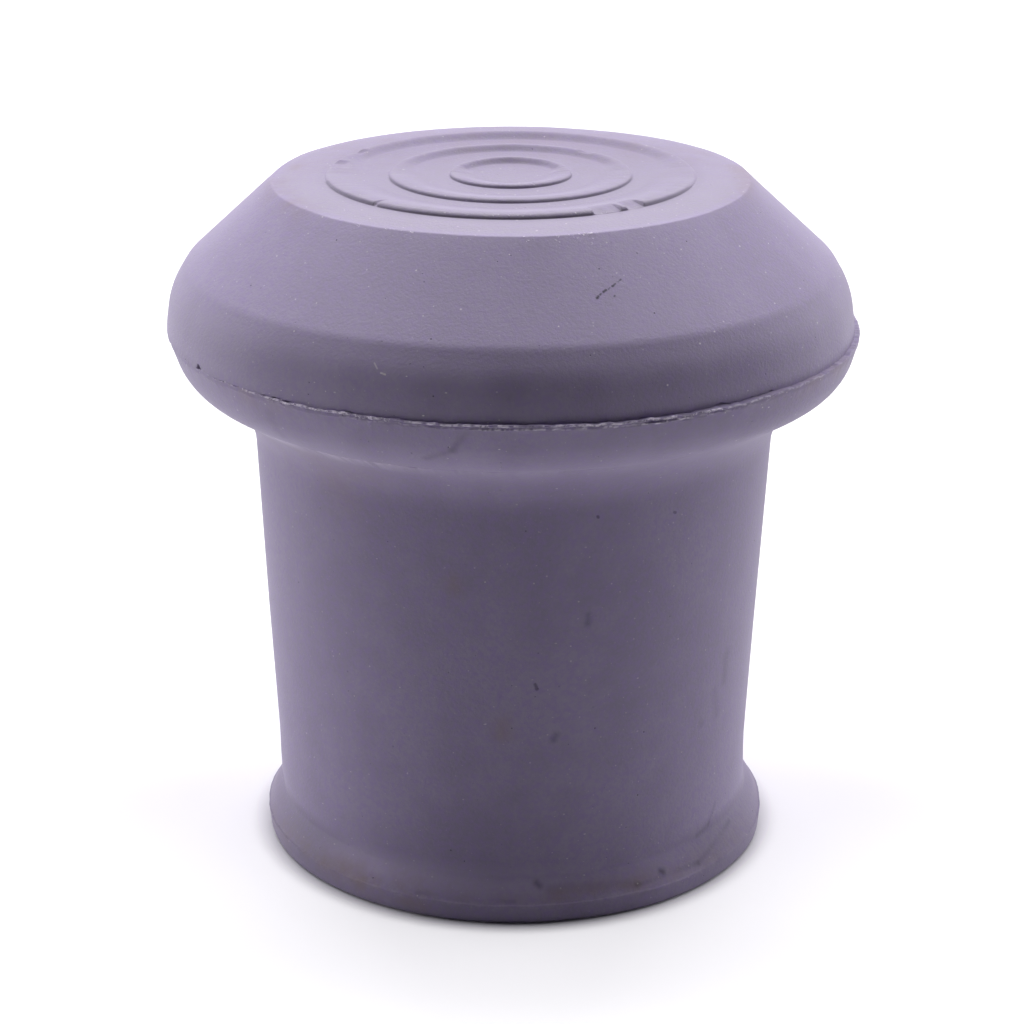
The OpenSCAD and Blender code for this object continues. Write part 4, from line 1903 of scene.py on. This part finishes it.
    def coated(
        self, w: Wiring, here: Socket, mask: Sockets, tint: Socket, coats: tuple[Coat, ...]
    ) -> Socket:
        """A tint with coats laid over it.

        Args:
            w: Wiring of the material.
            here: The point of the skin.
            mask: The skin's masks by name.
            tint: The colour underneath.
            coats: The coats in order.

        Returns:
            The colour.
        """
        for coat in coats:
            shown = mask[coat.mask]
            if coat.patchy is not None:
                shown = w.math("MULTIPLY", shown, coat.patchy.mask(w, here))
            tint = w.lay(tint, shown, coat.share, coat.colour)
        return tint

    def marked(self, w: Wiring, here: Socket, skin: Skin, tint: Socket) -> Socket:
        """A tint with the marks of use drawn on it.

        Args:
            w: Wiring of the material.
            here: The point of the skin.
            skin: The skin, for the places of the marks.
            tint: The colour underneath.

        Returns:
            The colour.
        """
        smear = smear_group()
        stains = {stain.kind: stain for stain in self.stains}
        for mark in self.marks:
            stain = stains[mark.kind]
            drawn = w.place(
                smear, Vector=here, Start=self.spot(skin, mark.start), Stop=self.spot(skin, mark.stop),
                Reach=mark.reach * MM, Core=stain.core, Waves=stain.waves, Fray=stain.fray,
            )
            tint = w.lay(tint, drawn.outputs["Mask"], mark.strength, stain.colour)
        return tint

    def strewn(
        self, w: Wiring, here: Socket, mask: Sockets, tint: Socket, height: Socket
    ) -> tuple[Socket, Socket]:
        """The tint and the height with dark pits, light dust and torn flecks strewn over them, and painted
        highlights.

        Args:
            w: Wiring of the material.
            here: The point of the skin.
            mask: The skin's masks by name.
            tint: The colour underneath.
            height: The height underneath.

        Returns:
            The colour and the height.
        """
        specks = speck_group()
        pits = self.pitting.mask(w, specks, w.vector("ADD", here, self.pit_offset).outputs[0])
        tint = w.lay(tint, pits, self.pitting.cover, self.dark)
        height = w.math("SUBTRACT", height, w.math("MULTIPLY", pits, self.pit_depth))
        for scatter in self.dusting:
            specked = scatter.mask(w, specks, w.vector("MULTIPLY", here, scatter.stretch).outputs[0])
            cover = w.math("MULTIPLY", w.span(mask["keen"], 0.0, 1.0, self.dull, 1.0), scatter.cover)
            tint = w.lay(tint, specked, cover, self.dust)
        torn = w.noise(here, 6500.0, 2.0, 0.7)
        gate = w.math("SUBTRACT", self.fleck_gate, w.math("MULTIPLY", mask["fleck"], self.fleck_give))
        fleck = w.span(torn, gate, w.math("ADD", gate, self.fleck_edge))
        fleck = w.math("MULTIPLY", fleck, w.span(mask["fleck"], 0.05, 0.5))
        tint = w.lay(tint, fleck, self.fleck_share, self.film)
        # Painted highlights on the flash's torn edges and along the crease's ridge.
        tint = w.mix(mask["lit"], tint, self.film)
        return tint, w.math("ADD", height, w.math("MULTIPLY", fleck, self.fleck_height))

    def material(self, skin: Skin) -> bpy.types.Material:
        """Builds the material over the masks of the skin."""
        made = bpy.data.materials.new("dusty_rubber")
        w = cleared(made)
        here = w.add("ShaderNodeTexCoord").outputs["Object"]
        mask = {n: w.add("ShaderNodeAttribute", attribute_name=n).outputs["Fac"] for n in MASKS}
        grain = w.place(grain_group(), Vector=here, Waves=self.grain_waves).outputs

        tint = w.mix(w.span(grain["Tone"], *self.tone), self.shade, self.base)
        tint = w.mix(self.violet_patches.mask(w, here, self.violet_most), tint, self.violet)
        tint = self.coated(w, here, mask, tint, self.under)
        keen = w.math("ADD", self.grain_height, w.math("MULTIPLY", mask["keen"], self.grain_keen))
        height = w.math("MULTIPLY", grain["Height"], keen)
        tint = self.marked(w, here, skin, tint)
        tint, height = self.strewn(w, here, mask, tint, height)
        tint = self.coated(w, here, mask, tint, self.over)

        # Painted sheen: a pale colour is laid over the rubber where it is seen edge-on.
        edge_on = w.fill(w.add("ShaderNodeLayerWeight"), Blend=0.5)
        tint = w.lay(tint, edge_on.outputs["Facing"], self.edge_sheen, self.powder_and_light)

        bump = w.fill(w.add("ShaderNodeBump"), Strength=1.0, Distance=self.bump_height, Height=height)
        low, high = self.roughness - self.roughness_span, self.roughness + self.roughness_span
        rough = w.span(grain["Tone"], 0.4, 0.62, low, high)
        rough = w.math("ADD", rough, w.math("MULTIPLY", mask["soil"], self.soil_roughness))
        shell = w.add("ShaderNodeBsdfPrincipled")
        w.fill(shell, Base_Color=tint, Roughness=rough, Normal=bump.outputs[0], Metallic=0.0)
        w.fill(shell, Specular_IOR_Level=self.specular, Sheen_Weight=self.sheen)
        w.fill(shell, Sheen_Roughness=self.sheen_roughness)
        w.fill(w.add("ShaderNodeOutputMaterial"), Surface=shell.outputs[0])
        return made


# -------------------- the tip


@dataclass
class CaneTip:
    """The rubber tip, one moulded piece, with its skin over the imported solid.

    Attributes:
        skin: Its surface.
        finish: Its finish.
    """

    skin: Skin = field(default_factory=Skin)
    finish: RubberFinish = field(default_factory=RubberFinish)

    def fitted(self) -> None:
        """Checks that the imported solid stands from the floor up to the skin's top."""
        low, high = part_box(NODE)
        top = (self.skin.tread.height + self.skin.tread.rib_h) * MM
        if abs(high.z - top) > FIT_LIMIT or abs(low.z) > FIT_LIMIT:
            raise ValueError(f"the packed tip is {low.z:.5f} to {high.z:.5f} m high, not 0 to {top:.5f} m")

    def build(self) -> bpy.types.Object:
        """Builds the skin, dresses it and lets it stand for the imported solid."""
        self.fitted()
        piece = put("tip_skin", self.skin.mesh("tip_skin"))
        piece.data.materials.append(self.finish.material(self.skin))
        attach(piece, "root")
        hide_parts(NODE)
        return piece


# -------------------- studio


@dataclass(frozen=True)
class Softbox:
    """A soft lamp that looks at the tip.

    Attributes:
        name: Its name.
        bearing: Bearing at which it stands, degrees.
        elevation: Degrees above the floor.
        wide: Its width, m.
        tall: Its height, m.
        level: Light that it gives the tip, as a share of what makes white of white.
        away: Distance from the tip's middle, m.
    """

    name: str
    bearing: float
    elevation: float
    wide: float
    tall: float
    level: float
    away: float = 0.45

    def build(self, target: Vector) -> bpy.types.Object:
        """Puts the lamp in its place; its power is level x pi x pi x distance squared."""
        lamp = bpy.data.lights.new(self.name, "AREA")
        lamp.shape = "RECTANGLE"
        lamp.size = self.wide
        lamp.size_y = self.tall
        lamp.energy = self.level * math.pi * math.pi * self.away ** 2
        piece = put(self.name, lamp)
        bearing, elevation = math.radians(self.bearing), math.radians(self.elevation)
        out = math.cos(elevation)
        way = Vector((math.cos(bearing) * out, math.sin(bearing) * out, math.sin(elevation)))
        piece.location = target + way * self.away
        piece.rotation_euler = way.to_track_quat("Z", "Y").to_euler()
        piece.visible_camera = False
        return piece


@dataclass(frozen=True)
class Floor:
    """Wide pale floor that shows white and keeps the tip's soft shadow.

    What is looked at is a matt floor with a glow over it.  The tip itself sees a plainer floor,
    whose light fades with the distance.

    Attributes:
        side: Its side, m.
        cells: Cells along each side.
        shown: Grey of the floor that is looked at.
        bounce: Grey of the floor that lights the tip from below.
        bounce_span: Distances from the tip between which that fades, m.
        glow_side: Glow beside and behind the tip.
        glow_front: Glow before it.
        glow_turn: Places along Y between which the one passes into the other, m.
        glow_start: Distances between which the glow sets in, m.
        glow_near: Painted light added next to the tip, which lightens its shadow there.
        glow_gone: Distance at which that has gone, m.
        tint: Violet painted on the floor next to the tip, the tip's own colour bounced onto it.
        tint_span: Distances between which it fades, m.
    """

    side: float = 4.0
    cells: int = 8
    shown: float = 0.9
    bounce: float = 0.78
    bounce_span: Span = (0.05, 0.18)
    glow_side: float = 0.17
    glow_front: float = 0.46
    glow_turn: Span = (-0.016, 0.004)
    glow_start: Span = (0.0149, 0.0165)
    glow_near: float = 0.07
    glow_gone: float = 0.036
    tint: Colour = (0.8, 0.78, 0.83)
    tint_span: Span = (0.02, 0.036)

    def mesh(self) -> bpy.types.Mesh:
        """A square sheet at height 0."""
        count = self.cells + 1
        x, y = np.meshgrid(*[np.linspace(-0.5 * self.side, 0.5 * self.side, count)] * 2)
        places = np.stack([x.ravel(), y.ravel(), np.zeros(x.size)], axis=1)
        step = np.arange(self.cells)
        corner = (step[:, None] * count + step[None, :]).ravel()
        faces = np.stack([corner, corner + 1, corner + count + 1, corner + count], axis=1)
        mesh = bpy.data.meshes.new("floor")
        mesh.from_pydata(places, [], faces.tolist())
        return mesh

    def material(self) -> bpy.types.Material:
        """The matt floor and its glow."""
        made = bpy.data.materials.new("pale_floor")
        w = cleared(made)
        place = w.add("ShaderNodeTexCoord").outputs["Object"]
        reach = w.vector("LENGTH", place).outputs["Value"]
        bounce = w.span(reach, *self.bounce_span, self.bounce, 0.0)
        seen = seen_directly(w)
        unseen = w.math("SUBTRACT", 1.0, seen)
        tone = w.math("ADD", w.math("MULTIPLY", seen, self.shown), w.math("MULTIPLY", unseen, bounce))
        grey = w.add("ShaderNodeCombineColor")
        for socket in grey.inputs:
            w.feed(socket, tone)
        matt = w.add("ShaderNodeBsdfDiffuse")
        # The tip's violet bounce is painted on the floor next to it.
        near = w.math("MULTIPLY", seen, w.span(reach, *self.tint_span, 1.0, 0.0))
        w.fill(matt, Color=w.mix(near, grey.outputs[0], self.tint))
        axes = w.add("ShaderNodeSeparateXYZ")
        w.feed(axes.inputs[0], place)
        lift = w.span(axes.outputs[1], *self.glow_turn, self.glow_front, self.glow_side)
        # Painted light next to the tip lightens its shadow.
        lift = w.math("ADD", lift, w.span(reach, self.glow_start[1], self.glow_gone, self.glow_near, 0.0))
        lift = w.math("MULTIPLY", lift, w.span(reach, *self.glow_start))
        glow = w.fill(w.add("ShaderNodeEmission"), Strength=w.math("MULTIPLY", lift, seen))
        both = w.add("ShaderNodeAddShader")
        w.feed(both.inputs[0], matt.outputs[0])
        w.feed(both.inputs[1], glow.outputs[0])
        w.fill(w.add("ShaderNodeOutputMaterial"), Surface=both.outputs[0])
        return made

    def build(self) -> bpy.types.Object:
        """Lays the floor and gives it its material."""
        piece = put("floor", self.mesh())
        piece.data.materials.append(self.material())
        return piece


def seen_directly(w: Wiring) -> Socket:
    """1 for rays from the camera, and for those that gloss or glass sends on."""
    path = w.add("ShaderNodeLightPath")
    seen = w.math("MAXIMUM", path.outputs["Is Camera Ray"], path.outputs["Is Glossy Ray"])
    return w.math("MAXIMUM", seen, path.outputs["Is Transmission Ray"])


@dataclass(frozen=True)
class Studio:
    """Pale floor, white surroundings, soft lamps and the camera.

    Attributes:
        image_side: Side of the image that the focal length is counted in, pixels.
        focal_px: Focal length in those pixels.
        sensor_mm: Width of the sensor.
        camera_at: Place of the camera, mm.
        camera_down: How far down it looks, degrees.
        clip: Nearest and farthest distance that it sees, m.
        target: Point that the lamps look at, m.
        floor: The floor.
        lamps: The lamps.
    """

    image_side: int = 1024
    focal_px: float = 2683.0
    sensor_mm: float = 36.0
    camera_at: tuple[float, float, float] = (-0.13, -150.57, 74.31)
    camera_down: float = 19.996
    clip: Span = (0.001, 20.0)
    target: tuple[float, float, float] = (0.0, 0.0, 0.02)
    floor: Floor = Floor()
    lamps: tuple[Softbox, ...] = (
        Softbox("back_low", 90.0, 8.0, 0.5, 0.16, 0.12),
        Softbox("back_mid", 90.0, 30.0, 0.5, 0.22, 0.074),
        Softbox("back_high", 90.0, 56.0, 0.4, 0.2, 0.497),
        Softbox("top_back", 90.0, 76.0, 0.4, 0.16, 0.326),
        Softbox("left_back_low", 150.0, 6.0, 0.2, 0.12, 0.205),
        Softbox("right_back_low", 30.0, 6.0, 0.2, 0.12, 0.22),
        Softbox("left_low", 178.0, 8.0, 0.2, 0.16, 0.249),
        Softbox("right_low", 2.0, 8.0, 0.2, 0.16, 0.096),
        Softbox("left_mid", 165.0, 38.0, 0.26, 0.26, 0.043),
        Softbox("right_mid", 15.0, 38.0, 0.26, 0.26, 0.155),
        Softbox("left_high", 160.0, 62.0, 0.24, 0.2, 0.277),
        Softbox("right_high", 20.0, 62.0, 0.24, 0.2, 0.21),
    )

    def camera(self) -> bpy.types.Object:
        """Camera that looks down at the tip from the front."""
        lens = bpy.data.cameras.new("camera")
        lens.sensor_width = self.sensor_mm
        lens.lens = self.focal_px * self.sensor_mm / self.image_side
        lens.clip_start, lens.clip_end = self.clip
        piece = put("camera", lens)
        piece.location = Vector(self.camera_at) * MM
        piece.rotation_euler = (math.radians(90.0 - self.camera_down), 0.0, 0.0)
        bpy.context.scene.camera = piece
        return piece

    def world(self) -> None:
        """White surroundings that are only looked at, so that they add no light of their own."""
        made = bpy.data.worlds.new("studio")
        bpy.context.scene.world = made
        w = cleared(made)
        shine = w.add("ShaderNodeBackground")
        w.fill(shine, Strength=seen_directly(w))
        w.fill(w.add("ShaderNodeOutputWorld"), Surface=shine.outputs[0])

    def build(self) -> None:
        """Builds the floor, the world, the lamps and the camera."""
        self.floor.build()
        self.world()
        for lamp in self.lamps:
            lamp.build(Vector(self.target))
        self.camera()
        bpy.context.scene.view_settings.view_transform = "Standard"


# -------------------- main


def main() -> None:
    """Loads the frame, builds the tip and the studio in order, and reports each piece."""
    logging.basicConfig(level=logging.INFO, format="%(name)s: %(message)s", stream=sys.stdout)
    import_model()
    piece = CaneTip().build()
    triangles = sum(len(p.vertices) - 2 for p in piece.data.polygons)
    log.info("%s: %d points, %d triangles", piece.name, len(piece.data.vertices), triangles)
    Studio().build()
    log.info("studio: floor, lamps and camera are in place")


if __name__ == "__main__":
    main()
